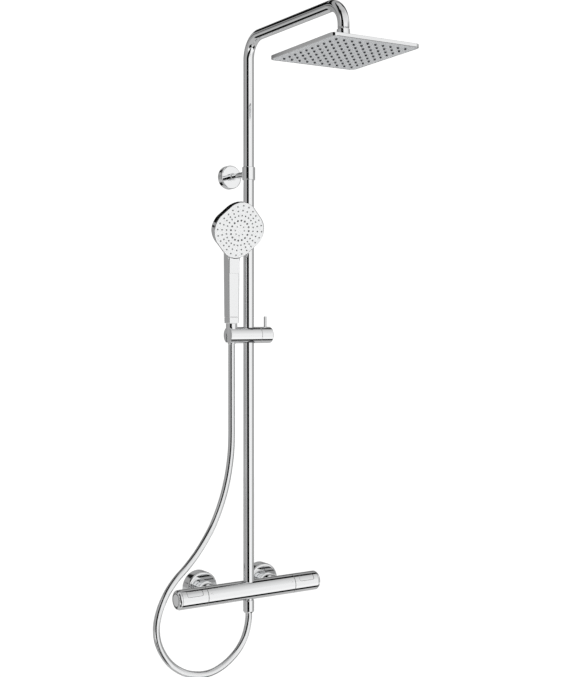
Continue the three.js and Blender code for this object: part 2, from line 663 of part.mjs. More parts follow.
function hoseOutlet() {
  const place = (name, geometry, finish) => add(name, geometry, finish).position.setY(AXIS_Y);
  place('outlet_nut', turned([
    [4.6, OUTLET_FOOT], [9.8, OUTLET_FOOT], [11.3, OUTLET_FOOT + 2.6], [11.3, -21.6],
    [10.8, -21], [9.4, -21], [9.4, -36], [4.6, -36],
  ], 'z', 16), 'chrome');
  place('outlet_washer', ring(8.8, 5, -35.6, -33.4, 'z', SMALL), 'rubber');
}

// ---------------------------------------------------------------- assembly
wallUnion('left', -INLET_X);
wallUnion('right', INLET_X);
valveBody();
riserSeal();
cartridge('flow_cartridge', 'flow_spindle', -1);
cartridge('thermostatic_cartridge', 'temperature_spindle', 1);
handle({
  sleeve: 'flow_handle',
  cap: 'flow_handle_cap',
  insert: 'flow_handle_insert',
  button: 'eco_button',
  spring: 'eco_button_spring',
}, -1);
handle({
  sleeve: 'temperature_handle',
  cap: 'temperature_handle_cap',
  insert: 'temperature_handle_insert',
  button: 'safety_button',
  spring: 'safety_button_spring',
}, 1);
riser();
bracket();
swivel();
rainHead();
slider();
handsetShell();
selectorButton();
handsetInside();
handsetFoot();
hose();
hoseOutlet();

export default column;
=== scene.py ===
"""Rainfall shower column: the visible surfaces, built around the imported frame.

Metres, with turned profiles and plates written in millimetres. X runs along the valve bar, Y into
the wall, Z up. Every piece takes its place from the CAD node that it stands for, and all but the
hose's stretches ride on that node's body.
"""
import json
import math

import bmesh
import bpy
import numpy as np
from mathutils import Euler, Matrix, Vector


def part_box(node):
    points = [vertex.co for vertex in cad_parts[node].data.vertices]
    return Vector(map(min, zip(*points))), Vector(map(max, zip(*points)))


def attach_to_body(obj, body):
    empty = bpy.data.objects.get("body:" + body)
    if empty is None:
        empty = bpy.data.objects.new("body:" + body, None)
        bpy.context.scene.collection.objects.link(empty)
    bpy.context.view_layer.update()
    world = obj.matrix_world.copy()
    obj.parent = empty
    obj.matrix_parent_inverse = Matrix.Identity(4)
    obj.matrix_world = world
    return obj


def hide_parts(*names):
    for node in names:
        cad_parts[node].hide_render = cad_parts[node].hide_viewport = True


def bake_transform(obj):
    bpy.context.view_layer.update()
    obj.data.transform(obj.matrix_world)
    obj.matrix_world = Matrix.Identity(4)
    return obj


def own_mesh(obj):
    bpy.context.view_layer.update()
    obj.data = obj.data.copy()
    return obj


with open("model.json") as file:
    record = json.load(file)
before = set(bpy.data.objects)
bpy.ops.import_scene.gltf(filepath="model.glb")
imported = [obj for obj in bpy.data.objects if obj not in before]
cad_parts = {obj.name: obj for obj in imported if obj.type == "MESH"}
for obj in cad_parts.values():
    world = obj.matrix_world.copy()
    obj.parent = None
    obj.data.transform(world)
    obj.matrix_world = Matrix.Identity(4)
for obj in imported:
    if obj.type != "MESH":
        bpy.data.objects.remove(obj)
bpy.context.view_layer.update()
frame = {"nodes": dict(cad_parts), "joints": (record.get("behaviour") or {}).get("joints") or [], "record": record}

# ---- driving values
MM = 0.001
ROUND = 96  # facets round the large turned pieces
SMALL = 40  # facets round the small ones
SHARP = math.radians(32)  # steeper folds than this keep a hard edge
ARC_STEPS = 6  # points on each rounded corner of an outline

CAMERA_PLACE = (-1.23275, -2.13883, 0.56198)
CAMERA_TURN = math.radians(33.12)
CAMERA_LENS = 61.13  # millimetres, on a sensor 36 mm wide
CAMERA_SHIFT = -0.02777
FLOOR_Z = -0.9
FLOOR_SIDE = 14.0

HOSE_R = 6.9 * MM
HOSE_RING_STEP = 3 * MM
HOSE_SIDES = 28
HOSE_TURN = 2.4 * MM  # pitch of the strip wound inside it
HOSE_SPLIT_LOW = 340 * MM  # the hose is three stretches, which meet at these heights
HOSE_SPLIT_HIGH = 425 * MM
HOSE_FIXED_BELOW = 20 * MM  # the loop beside the valve lies below this height

HANDSET_TILT = math.radians(17.6)  # how far the spray face looks down

# ---- the frame's facts
BODIES = frame["record"]["behaviour"]["bodies"]
BODY_OF = {node: body for body, nodes in BODIES.items() for node in nodes}
SLOT_OF = {row["node"]: row["material_slot"] for row in frame["record"]["subparts"]}
MATERIALS = {}


def space(node):
    """Centre, half sizes, lowest and highest corner of a CAD node."""
    low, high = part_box(node)
    return (low + high) / 2, (high - low) / 2, low, high


def joint_place(name):
    """The point that a hinge of the frame turns about."""
    joint = next(row for row in frame["joints"] if row["name"] == name)
    return Vector(joint["pos_m"])


# ---- camera
def new_object(name, data):
    made = bpy.data.objects.new(name, data)
    bpy.context.scene.collection.objects.link(made)
    return made


def make_camera():
    data = bpy.data.cameras.new("camera")
    data.lens = CAMERA_LENS
    data.sensor_width = 36
    data.shift_y = CAMERA_SHIFT
    data.clip_start = 0.1
    data.clip_end = 60
    camera = new_object("camera", data)
    camera.location = CAMERA_PLACE
    camera.rotation_euler = (math.pi / 2, 0, -CAMERA_TURN)
    bpy.context.scene.camera = camera


# ---- node helpers
def linear(tone):
    """The light value that shows as a display tone, both from 0 to 1."""
    return tone / 12.92 if tone <= 0.04045 else ((tone + 0.055) / 1.055) ** 2.4


def grey(tone):
    return (linear(tone), linear(tone), linear(tone), 1)


class Nodes:
    """Short calls that add shader nodes to one node tree."""

    def __init__(self, tree):
        self.tree = tree

    def link(self, source, target):
        self.tree.links.new(source, target)

    def add(self, kind, inputs=(), **settings):
        """A node: each input takes a value, or a link from another node's output."""
        node = self.tree.nodes.new(kind)
        for name, value in settings.items():
            setattr(node, name, value)
        for key, value in dict(inputs).items():
            if isinstance(value, bpy.types.NodeSocket):
                self.link(value, node.inputs[key])
            else:
                node.inputs[key].default_value = value
        return node

    def math(self, operation, a, b=0.0):
        return self.add("ShaderNodeMath", {0: a, 1: b}, operation=operation).outputs[0]

    def dot(self, vector, direction):
        node = self.add("ShaderNodeVectorMath", {0: vector, 1: direction}, operation="DOT_PRODUCT")
        return node.outputs["Value"]

    def mapped(self, value, low, high, to_low=0.0, to_high=1.0, kind="LINEAR"):
        """A value between low and high carried to the range from to_low to to_high."""
        inputs = {"Value": value, "From Min": low, "From Max": high}
        inputs.update({"To Min": to_low, "To Max": to_high})
        return self.add("ShaderNodeMapRange", inputs, interpolation_type=kind).outputs[0]

    def smooth(self, value, low, high):
        """0 below low and 1 above high, or the other way round where low is the higher."""
        if low > high:
            return self.mapped(value, high, low, 1.0, 0.0, "SMOOTHSTEP")
        return self.mapped(value, low, high, kind="SMOOTHSTEP")

    def band(self, value, low, high, soft):
        """1 between low and high, fading over soft at both ends."""
        rise = self.smooth(value, low - soft, low)
        return self.math("MULTIPLY", rise, self.smooth(value, high + soft, high))

    def mix(self, share, first, second):
        inputs = {0: share, 6: first, 7: second}
        return self.add("ShaderNodeMix", inputs, data_type="RGBA").outputs[2]

    def ramp(self, value, stops):
        """A colour ramp through (place, display tone) stops."""
        node = self.add("ShaderNodeValToRGB", {"Fac": value})
        elements = node.color_ramp.elements
        while len(elements) < len(stops):
            elements.new(0.5)
        for element, (place, tone) in zip(elements, stops):
            element.position = place
            element.color = grey(tone)
        return node.outputs["Color"]

    def noise(self, vector, scale, detail=2.0):
        inputs = {"Vector": vector, "Scale": scale, "Detail": detail}
        return self.add("ShaderNodeTexNoise", inputs).outputs["Fac"]

    def spread(self, noise, low, high):
        """A noise carried to the range from low to high."""
        return self.mapped(noise, 0.25, 0.75, low, high)


# ---- studio
# The spray face of the handset looks out along the first of these.
FACE_OUT = Vector((0, -math.cos(HANDSET_TILT), -math.sin(HANDSET_TILT)))
FACE_UP = Vector((0, -math.sin(HANDSET_TILT), math.cos(HANDSET_TILT)))
FACE_ACROSS = Vector((1, 0, 0))
# The directions that set out the studio's cloths. The hoop goes over and under the bar, leaning
# back, and the canopy's long edges slope.
STUDIO_AXES = {
    "camera": (-math.sin(CAMERA_TURN), -math.cos(CAMERA_TURN), 0),
    "right": (math.cos(CAMERA_TURN), -math.sin(CAMERA_TURN), 0),
    "up": (0, 0, 1), "east": (1, 0, 0), "deep": (0, 1, 0), "into_face": -FACE_OUT,
    "hoop": (0, 1, -0.26), "canopy": (-0.29, 0, 1),
}
# What stands round the object at eye height: degrees from the camera towards the right, tone.
STUDIO_ROUND = [
    (-180, 0.57), (-120, 0.60), (-60, 0.66), (-20, 0.68), (-6, 0.93), (10, 0.97), (62, 0.96),
    (81, 0.93), (86, 0.65), (180, 0.57),
]
# The front half of the tent, by the upward share of the direction, and where it begins.
STUDIO_FRONT = [
    (-0.85, 1.0), (-0.5, 0.985), (-0.2, 0.955), (0.2, 0.91), (0.5, 0.90), (0.75, 0.84), (0.85, 0.75),
]
FRONT_LIMITS = [("steepness", 0.2, 0.45), ("hoop", 0.1, -0.1)]
STRIPE = (-32.5, 8)  # a dark upright cloth left of the camera, from and to, in degrees
STRIPE_LEAN = 36  # and it leans by this many degrees from eye height to the top
STRIPE_SOFT = 0.008
STRIPE_TONE = 0.05
# West of the camera the stripe goes on above and below eye height.
STRIPE_TALL_LIMITS = [("east", -0.08, -0.2), ("steepness", 0.9, 0.8)]
# The wide cloths, as they are hung: tone, then limits. A limit is a direction and the shares of it
# where the cloth begins and is whole, or where it is whole from and to and how soft its edges are.
STUDIO_CLOTHS = [
    # behind the object it is grey above and paler below
    (0.62, [("hoop", 0.0, 0.2), ("up", 0.2, 0.35)]),
    (0.72, [("hoop", 0.0, 0.2), ("up", -0.2, -0.35)]),
    # the dark hoop, then a canopy and a skirt behind the object
    (0.06, [("hoop", -0.22, 0.12, 0.05), ("steepness", 0.45, 0.6), ("steepness", 0.95, 0.88)]),
    (0.03, [("deep", 0.5, 0.56), ("canopy", 0.53, 0.69, 0.03), ("east", -0.46, 0.18, 0.05)]),
    (0.08, [("deep", 0.5, 0.6), ("up", -0.56, -0.36, 0.04), ("east", -0.48, -0.14, 0.05)]),
    # an arc that the upper left rim of the spray head mirrors
    (0.03, [("into_face", 0.78, 0.865, 0.012), ("up", 0.36, 0.44), ("east", 0.46, 0.38)]),
]
# Small round cloths behind the object: direction, half width in degrees, tone.
STUDIO_SPOTS = [
    ((0.52, 0.74, 0.42), 6, 0.05), ((-0.535, 0.825, 0.19), 3.5, 0.10),
    ((-0.53, 0.82, -0.22), 7, 0.72),
]
PLAIN_LIGHT = (1.1, 1.1, 1.1, 1)  # what lights everything, beside what the chrome mirrors
LIGHTS = [("key", (-1.8, -2.6, 2.6), 12), ("fill", (2.2, -2.2, 1.0), 5)]  # name, place, power
LIGHT_SIDE = 1.6
LIGHT_AIM = Vector((0, -0.1, 0.5))


def studio_mask(nodes, shares, limits):
    """How far a direction lies within all the limits, from 0 to 1."""
    made = 1.0
    for name, low, high, *soft in limits:
        shape = nodes.band if soft else nodes.smooth
        made = nodes.math("MULTIPLY", shape(shares[name], low, high, *soft), made)
    return made


def studio_light(nodes):
    """The white tent with dark cloths that the chrome mirrors, by direction."""
    direction = nodes.add("ShaderNodeTexCoord").outputs["Generated"]
    shares = {name: nodes.dot(direction, axis) for name, axis in STUDIO_AXES.items()}
    shares["steepness"] = nodes.math("ABSOLUTE", shares["up"])

    angle = nodes.math("ARCTAN2", shares["right"], shares["camera"])
    turn = nodes.mapped(angle, -math.pi, math.pi)
    around = nodes.ramp(turn, [(degrees / 360 + 0.5, tone) for degrees, tone in STUDIO_ROUND])
    leaning = nodes.math("ADD", turn, nodes.math("MULTIPLY", shares["up"], STRIPE_LEAN / 360))
    low, high = (degrees / 360 + 0.5 for degrees in STRIPE)
    stripe = nodes.band(leaning, low, high, STRIPE_SOFT)
    around = nodes.mix(stripe, around, grey(STRIPE_TONE))

    rise = nodes.mapped(shares["up"], -1.0, 1.0)
    front = nodes.ramp(rise, [(height / 2 + 0.5, tone) for height, tone in STUDIO_FRONT])
    light = nodes.mix(studio_mask(nodes, shares, FRONT_LIMITS), around, front)
    tall = studio_mask(nodes, shares, STRIPE_TALL_LIMITS)
    light = nodes.mix(nodes.math("MULTIPLY", stripe, tall), light, grey(STRIPE_TONE))
    for tone, limits in STUDIO_CLOTHS:
        light = nodes.mix(studio_mask(nodes, shares, limits), light, grey(tone))
    for middle, half_width, tone in STUDIO_SPOTS:
        towards = nodes.dot(direction, Vector(middle).normalized())
        edge = math.radians(half_width)
        mask = nodes.smooth(towards, math.cos(edge * 1.25), math.cos(edge * 0.75))
        light = nodes.mix(mask, light, grey(tone))
    return light


def make_world():
    world = bpy.data.worlds.new("studio")
    bpy.context.scene.world = world
    world.use_nodes = True
    world.node_tree.nodes.clear()
    nodes = Nodes(world.node_tree)
    path = nodes.add("ShaderNodeLightPath")
    colour = nodes.mix(path.outputs["Is Glossy Ray"], PLAIN_LIGHT, studio_light(nodes))
    background = nodes.add("ShaderNodeBackground", {"Color": colour})
    nodes.add("ShaderNodeOutputWorld", {"Surface": background.outputs[0]})
    world.cycles.sampling_method = "MANUAL"
    world.cycles.sample_map_resolution = 1024


def make_floor():
    mesh = bpy.data.meshes.new("floor")
    half = FLOOR_SIDE / 2
    corners = [(-half, -half), (half, -half), (half, half), (-half, half)]
    mesh.from_pydata([(x, y, FLOOR_Z) for x, y in corners], [], [(0, 1, 2, 3)])
    floor = new_object("floor", mesh)
    paint = bpy.data.materials.new("floor_paint")
    paint.use_nodes = True
    shader = paint.node_tree.nodes["Principled BSDF"]
    shader.inputs["Base Color"].default_value = (0.97, 0.97, 0.97, 1)
    shader.inputs["Roughness"].default_value = 0.9
    mesh.materials.append(paint)
    floor.visible_glossy = False


def make_lights():
    """Two large soft lights, high in front, which only brighten the matt pieces."""
    for name, place, power in LIGHTS:
        data = bpy.data.lights.new(name, "AREA")
        data.shape = "SQUARE"
        data.size = LIGHT_SIDE
        data.energy = power
        light = new_object(name, data)
        light.location = place
        light.rotation_euler = (LIGHT_AIM - Vector(place)).to_track_quat("-Z", "Y").to_euler()
        light.visible_glossy = False


# ---- materials
CHROME = (0.93, 0.935, 0.94)


def new_material(name, colour, metallic, roughness):
    made = bpy.data.materials.new(name)
    made.use_nodes = True
    shader = made.node_tree.nodes["Principled BSDF"]
    shader.inputs["Base Color"].default_value = (*colour, 1)
    shader.inputs["Metallic"].default_value = metallic
    shader.inputs["Roughness"].default_value = roughness
    MATERIALS[name] = made
    nodes = Nodes(made.node_tree)
    where = nodes.add("ShaderNodeTexCoord").outputs["Object"]
    return nodes, shader, where


def stretched(nodes, where, scale):
    return nodes.add("ShaderNodeMapping", {"Vector": where, "Scale": scale}).outputs[0]


def set_tint(nodes, shader, share, dark, light):
    nodes.link(nodes.mix(share, (*dark, 1), (*light, 1)), shader.inputs["Base Color"])


def set_gloss(nodes, shader, noise, low, high):
    nodes.link(nodes.spread(noise, low, high), shader.inputs["Roughness"])


def add_bump(nodes, shader, height, distance, strength=1.0):
    inputs = {"Height": height, "Distance": distance, "Strength": strength}
    nodes.link(nodes.add("ShaderNodeBump", inputs).outputs[0], shader.inputs["Normal"])


def chrome_material(name, low, high, grain, wave):
    """Polished plating: its gloss varies faintly, over a very slight orange peel."""
    nodes, shader, where = new_material(name, CHROME, 1.0, low)
    set_gloss(nodes, shader, nodes.noise(stretched(nodes, where, grain), 30.0, 4.0), low, high)
    set_tint(nodes, shader, nodes.noise(where, 9.0), CHROME, [tone * 1.02 for tone in CHROME])
    add_bump(nodes, shader, nodes.noise(where, 140.0), wave)


def satin_steel():
    """Finely brushed sheet: short scratches run along X."""
    nodes, shader, where = new_material("satin_steel", (0.74, 0.755, 0.77), 0.6, 0.4)
    scratches = nodes.noise(stretched(nodes, where, (40, 1500, 1500)), 1.0, 3.0)
    set_tint(nodes, shader, scratches, (0.70, 0.715, 0.73), (0.78, 0.795, 0.81))
    set_gloss(nodes, shader, scratches, 0.34, 0.5)
    add_bump(nodes, shader, scratches, 0.00002)


def hose_skin():
    """A clear sheath over a bright strip wound round and round: fine slanting turns."""
    nodes, shader, _ = new_material("hose_skin", (0.8, 0.81, 0.82), 1.0, 0.12)
    chart = nodes.add("ShaderNodeUVMap", uv_map="along").outputs[0]
    parts = nodes.add("ShaderNodeSeparateXYZ", {0: chart})
    turns = nodes.math("MULTIPLY", parts.outputs["Y"], 1 / HOSE_TURN)
    phase = nodes.math("FRACT", nodes.math("ADD", turns, parts.outputs["X"]))
    ridge = nodes.math("SINE", nodes.math("MULTIPLY", phase, math.pi))
    seam = nodes.smooth(ridge, 0.0, 0.35)
    set_tint(nodes, shader, seam, (0.76, 0.77, 0.78), (0.88, 0.885, 0.89))
    set_gloss(nodes, shader, nodes.noise(chart, 400.0), 0.09, 0.16)
    add_bump(nodes, shader, ridge, 0.00003, 0.12)
    shader.inputs["Coat Weight"].default_value = 0.6
    shader.inputs["Coat Roughness"].default_value = 0.05


def pale_plastic():
    nodes, shader, where = new_material("pale_plastic", (0.72, 0.73, 0.73), 0.0, 0.3)
    set_tint(nodes, shader, nodes.noise(where, 25.0), (0.70, 0.71, 0.715), (0.74, 0.745, 0.745))
    set_gloss(nodes, shader, nodes.noise(where, 300.0), 0.26, 0.36)
    add_bump(nodes, shader, nodes.noise(where, 2500.0), 0.00001)


# The cloudy materials: how metallic, dark and light tone, the cloud's scale and detail, lowest and
# highest roughness or one roughness all over, the grain's scale and depth.
CLOUDED = {
    "silicone": (
        0.0, (0.03, 0.032, 0.036), (0.055, 0.058, 0.064), (120.0, 2.0), (0.5, 0.65), (1800.0, 0.00002)),
    "spray_grey": (
        0.0, (0.10, 0.105, 0.105), (0.14, 0.145, 0.145), (150.0, 2.0), (0.5,), (1800.0, 0.00002)),
    "spray_dark": (
        0.0, (0.03, 0.032, 0.034), (0.05, 0.052, 0.055), (150.0, 2.0), (0.5,), (1800.0, 0.00002)),
    "brass": (
        1.0, (0.62, 0.48, 0.24), (0.74, 0.6, 0.33), (60.0, 5.0), (0.25, 0.4), (900.0, 0.00002)),
    "steel": (
        1.0, (0.48, 0.49, 0.5), (0.62, 0.63, 0.64), (60.0, 5.0), (0.22, 0.36), (900.0, 0.00002)),
    "dark_plastic": (
        0.0, (0.035, 0.037, 0.04), (0.055, 0.057, 0.06), (80.0, 2.0), (0.39, 0.51), (2200.0, 0.00002)),
    "rubber": (
        0.0, (0.008, 0.008, 0.008), (0.02, 0.02, 0.02), (80.0, 2.0), (0.64, 0.76), (2200.0, 0.00004)),
    "print_grey": (
        0.0, (0.22, 0.225, 0.23), (0.27, 0.275, 0.28), (80.0, 2.0), (0.44, 0.56), (2200.0, 0.00001)),
}


def clouded(name, metallic, dark, light, cloud, gloss, grain):
    """Bare metal, moulded plastic or rubber: a cloudy tone over a fine even grain."""
    nodes, shader, where = new_material(name, dark, metallic, gloss[0])
    clouds = nodes.noise(where, *cloud)
    set_tint(nodes, shader, clouds, dark, light)
    if len(gloss) == 2:
        set_gloss(nodes, shader, clouds, *gloss)
    add_bump(nodes, shader, nodes.noise(where, grain[0]), grain[1])


def make_materials():
    chrome_material("chrome", 0.03, 0.07, (1, 1, 1), 0.000002)
    chrome_material("chrome_tube", 0.03, 0.07, (3, 3, 0.4), 0.000002)
    chrome_material("chrome_plastic", 0.04, 0.09, (1, 1, 1), 0.000004)
    satin_steel()
    hose_skin()
    pale_plastic()
    for name, facts in CLOUDED.items():
        clouded(name, *facts)


# ---- mesh helpers
AXES = {
    "x": (Vector((0, 1, 0)), Vector((0, 0, 1)), Vector((1, 0, 0))),
    "y": (Vector((0, 0, 1)), Vector((1, 0, 0)), Vector((0, 1, 0))),
    "z": (Vector((1, 0, 0)), Vector((0, 1, 0)), Vector((0, 0, 1))),
}
EDGE_TURNS = (0, 0.4, 0.8, 1.2, math.pi / 2)  # the steps round a plate's rounded edge


def add_skin(mesh, rings, joined=False):
    """A closed surface through rings of points. One point closes an end in a fan."""
    made = [[mesh.verts.new(point) for point in ring] for ring in rings]
    pairs = list(zip(made, made[1:]))
    if joined:
        pairs.append((made[-1], made[0]))
    for lower, upper in pairs:
        count = max(len(lower), len(upper))
        for i in range(count):
            j = (i + 1) % count
            corners = [lower[i % len(lower)], lower[j % len(lower)],
                       upper[j % len(upper)], upper[i % len(upper)]]
            mesh.faces.new(list(dict.fromkeys(corners)))
    if not joined:
        for end in (made[0], made[-1]):
            if len(end) > 2:
                mesh.faces.new(end)


def to_object(name, mesh):
    bmesh.ops.recalc_face_normals(mesh, faces=mesh.faces)
    data = bpy.data.meshes.new(name)
    mesh.to_mesh(data)
    mesh.free()
    return new_object(name, data)


def skins(name, groups):
    """One object made of several closed surfaces, each a list of rings."""
    mesh = bmesh.new()
    for rings, joined in groups:
        add_skin(mesh, rings, joined)
    return to_object(name, mesh)


def rounded_corner(before, corner, after, radius):
    """The arc that rounds one corner of a flat outline."""
    corner = Vector(corner)
    back = Vector(before) - corner
    ahead = Vector(after) - corner
    angle = back.angle(ahead)
    reach = min(radius / math.tan(angle / 2), 0.49 * back.length, 0.49 * ahead.length)
    radius = reach * math.tan(angle / 2)
    back.normalize()
    ahead.normalize()
    centre = corner + (back + ahead).normalized() * (radius / math.sin(angle / 2))
    start = corner + back * reach - centre
    turn = math.pi - angle
    if start.y * back.x - start.x * back.y < 0:
        turn = -turn
    steps = [turn * i / ARC_STEPS for i in range(ARC_STEPS + 1)]
    return [tuple(centre + Matrix.Rotation(step, 2) @ start) for step in steps]


def rounded(outline):
    """Rounds the corners of a closed outline of (x, y) or (x, y, rounding) corners."""
    made = []
    for i, (x, y, *rounding) in enumerate(outline):
        if rounding:
            before = outline[i - 1][:2]
            after = outline[(i + 1) % len(outline)][:2]
            made += rounded_corner(before, (x, y), after, rounding[0])
        else:
            made.append((x, y))
    return made


def turned_rings(profile, axis, centre, sides):
    """Rings of a turned piece. Its corners are (radius, along, rounding), in millimetres."""
    across, over, along = AXES[axis]
    angles = [2 * math.pi * i / sides for i in range(sides)]
    spokes = [across * math.cos(a) + over * math.sin(a) for a in angles]
    rings = []
    for radius, distance in rounded(profile):
        middle = Vector(centre) + along * (distance * MM)
        if radius < 0.0001:
            rings.append([middle])
        else:
            rings.append([middle + spoke * (radius * MM) for spoke in spokes])
    hollow = profile[0][0] > 0
    return rings, hollow


def turned(name, profile, axis, centre, sides=ROUND):
    return skins(name, [turned_rings(profile, axis, centre, sides)])


def drill(radius, start, end, axis, centre, sides=SMALL):
    """A rod to cut with or to add, in millimetres along an axis from a centre."""
    return turned("drill", [(0, start), (radius, start), (radius, end), (0, end)], axis, centre, sides)


def outline_points(width, height, corner, steps, straight):
    """A rectangle with round corners: steps on each corner, straight on each side."""
    corner = max(min(corner, width / 2, height / 2), 0.01)
    arcs = []
    for quarter, (a, b) in enumerate(((1, 1), (-1, 1), (-1, -1), (1, -1))):
        middle = Vector((a * (width / 2 - corner), b * (height / 2 - corner)))
        angles = [(quarter + i / steps) * math.pi / 2 for i in range(steps + 1)]
        arcs.append([middle + corner * Vector((math.cos(t), math.sin(t))) for t in angles])
    points = []
    for arc, after in zip(arcs, arcs[1:] + arcs[:1]):
        points += arc
        points += [arc[-1].lerp(after[0], i / straight) for i in range(1, straight)]
    return points


def plate_rings(size, levels, place, steps=8, straight=1):
    """Rings of a round-cornered plate, (width, height, corner), through (inset, depth) levels, all
    in millimetres. Each point is set by place(a, b, depth), in metres."""
    rings = []
    for inset, depth in levels:
        width, height, corner = size
        points = outline_points(
            width - 2 * inset, height - 2 * inset, corner - inset, steps, straight)
        rings.append([place(a * MM, b * MM, depth * MM) for a, b in points])
    return rings


def plate(name, size, levels, place, steps=8, straight=1):
    return skins(name, [(plate_rings(size, levels, place, steps, straight), False)])


def round_over(radius, start):
    """Levels that round a plate's edge, from depth start to start + radius."""
    return [(radius * (1 - math.cos(t)), start + radius * math.sin(t)) for t in EDGE_TURNS]


def combine(target, others, operation="DIFFERENCE"):
    """Cuts or joins the other objects, and removes them."""
    for other in others:
        change = target.modifiers.new("combine", "BOOLEAN")
        change.object = other
        change.operation = operation
        change.solver = "EXACT"
    graph = bpy.context.evaluated_depsgraph_get()
    data = bpy.data.meshes.new_from_object(target.evaluated_get(graph))
    target.modifiers.clear()
    target.data = data
    for other in others:
        bpy.data.objects.remove(other)


def smooth_to(piece, angle):
    """Smooth shading, with folds steeper than the angle kept hard."""
    piece.data.shade_smooth()
    piece.data.set_sharp_from_angle(angle=angle)


def shade(piece):
    smooth_to(piece, SHARP)
    weigh = piece.modifiers.new("weigh", "WEIGHTED_NORMAL")
    weigh.keep_sharp = True
    return piece


def shade_round(piece, axis, centre, radius):
    """Shades a turned piece that was cut: its cylinder keeps its true normals."""
    smooth_to(piece, SHARP)
    mesh = piece.data
    along = AXES[axis][2]
    normals = [corner.vector.copy() for corner in mesh.corner_normals]
    for face in mesh.polygons:
        arms = [mesh.vertices[v].co - centre for v in face.vertices]
        arms = [arm - along * arm.dot(along) for arm in arms]
        if all(abs(arm.length - radius * MM) < 0.02 * MM for arm in arms):
            for loop, arm in zip(face.loop_indices, arms):
                normals[loop] = arm.normalized()
    mesh.normals_split_custom_set(normals)


def attach(piece, body, slot, material=None):
    """Gives a new piece its material and the body that it moves with."""
    piece.data.materials.clear()
    piece.data.materials.append(MATERIALS[material or slot])
    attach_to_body(piece, body)


def stand_for(piece, node, slot=None):
    """The piece takes the place, body and slot of a CAD node."""
    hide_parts(node)
    attach(piece, BODY_OF[node], slot or SLOT_OF[node])


def turned_node(node, profile, axis, centre, sides=ROUND, slot=None):
    """A turned piece that stands for a node."""
    stand_for(shade(turned(f"{node}_finish", profile, axis, centre, sides)), node, slot)


def cut_node(piece, node, cuts, axis, centre, radius):
    """Cuts a turned piece that stands for a node."""
    combine(piece, cuts)
    shade_round(piece, axis, centre, radius)
    stand_for(piece, node)


def turned_space(node, axis):
    """The line that a turned node stands on, its radius, and where it starts and ends along that
    line, in millimetres."""
    centre, half, low, high = space(node)
    i = "xyz".index(axis)
    centre[i] = 0
    radius = half.y if axis == "x" else half.x
    return centre, radius / MM, low[i] / MM, high[i] / MM


# ---- hose
# The hose drops straight from the cone nut, swings out past the bar's left end, and loops back
# up into the outlet nut under the middle of the bar: X and Z, in millimetres.
HOSE_ROUTE = [
    (-41, 511.5), (-41, 440), (-41, 377), (-41, 330), (-42, 296), (-46, 262), (-52, 231),
    (-61, 199), (-73, 168), (-87, 139), (-105, 111), (-126, 84), (-148, 61), (-168, 43),
    (-186, 22), (-200, -2), (-209, -26), (-213, -50), (-210, -76), (-199, -102), (-180, -127),
    (-152, -147), (-121, -157), (-93, -158), (-68, -151), (-45, -138), (-24, -119), (-10, -97),
    (-3, -76), (0, -58), (0, -47),
]


def smooth_line(points, step):
    """Points a step apart on the centripetal Catmull-Rom curve through the route."""
    ends = [2 * points[0] - points[1], 2 * points[-1] - points[-2]]
    padded = [ends[0], *points, ends[1]]
    line = [points[0]]
    for a, b, c, d in zip(padded, padded[1:], padded[2:], padded[3:]):
        t0 = 0.0
        t1 = t0 + math.sqrt((b - a).length)
        t2 = t1 + math.sqrt((c - b).length)
        t3 = t2 + math.sqrt((d - c).length)
        count = max(1, round((c - b).length / step))
        for i in range(1, count + 1):
            t = t1 + (t2 - t1) * i / count
            ab = a.lerp(b, (t - t0) / (t1 - t0))
            bc = b.lerp(c, (t - t1) / (t2 - t1))
            cd = c.lerp(d, (t - t2) / (t3 - t2))
            line.append(ab.lerp(bc, (t - t0) / (t2 - t0)).lerp(
                bc.lerp(cd, (t - t1) / (t3 - t1)), (t - t1) / (t2 - t1)))
    return line


def tube_rings(line, radius, sides, start):
    """Round sections along a line, each turned from the one before without twist."""
    rings = []
    side = start
    for i, point in enumerate(line):
        ahead = (line[min(i + 1, len(line) - 1)] - line[max(i - 1, 0)]).normalized()
        side = (side - ahead * side.dot(ahead)).normalized()
        over = ahead.cross(side)
        angles = [2 * math.pi * k / sides for k in range(sides)]
        rings.append([point + (side * math.cos(a) + over * math.sin(a)) * radius for a in angles])
    return rings


def chart_hose(piece, sides, lengths):
    """UVs for the wound strip: round the hose, and metres along it."""
    chart = piece.data.uv_layers.new(name="along")
    for face in piece.data.polygons:
        around = [v % sides for v in face.vertices]
        wraps = max(around) - min(around) > sides / 2
        for loop, vertex, place in zip(face.loop_indices, face.vertices, around):
            turn = place / sides + (1.0 if wraps and place < sides / 2 else 0.0)
            chart.data[loop].uv = (turn, lengths[vertex // sides])


def hose_stretch(name, route, along_from):
    """One stretch of the hose. It returns how far along the hose the stretch ends."""
    line = smooth_line(route, HOSE_RING_STEP)
    lengths = [along_from]
    for a, b in zip(line, line[1:]):
        lengths.append(lengths[-1] + (b - a).length)
    piece = skins(name, [(tube_rings(line, HOSE_R, HOSE_SIDES, Vector((0, 1, 0))), False)])
    chart_hose(piece, HOSE_SIDES, lengths)
    smooth_to(piece, SHARP)
    piece.data.materials.append(MATERIALS["hose_skin"])
    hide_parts("hose")
    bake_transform(piece)
    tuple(line[0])
    [tuple(point) for point in line]
    return lengths[-1]


def make_hose():
    plane = space("outlet_nut")[0].y
    route = [Vector((x * MM, plane, z * MM)) for x, z in HOSE_ROUTE]
    top = route[0]
    high, low, fixed = (
        Vector((top.x, plane, z)) for z in (HOSE_SPLIT_HIGH, HOSE_SPLIT_LOW, HOSE_FIXED_BELOW))
    swing = [low] + [point for point in route if point.z <= HOSE_SPLIT_LOW]
    at = hose_stretch("hose_upper", [top, high], 0)
    at = hose_stretch("hose_middle", [high, low], at)
    hose_stretch("hose_lower", swing, at)


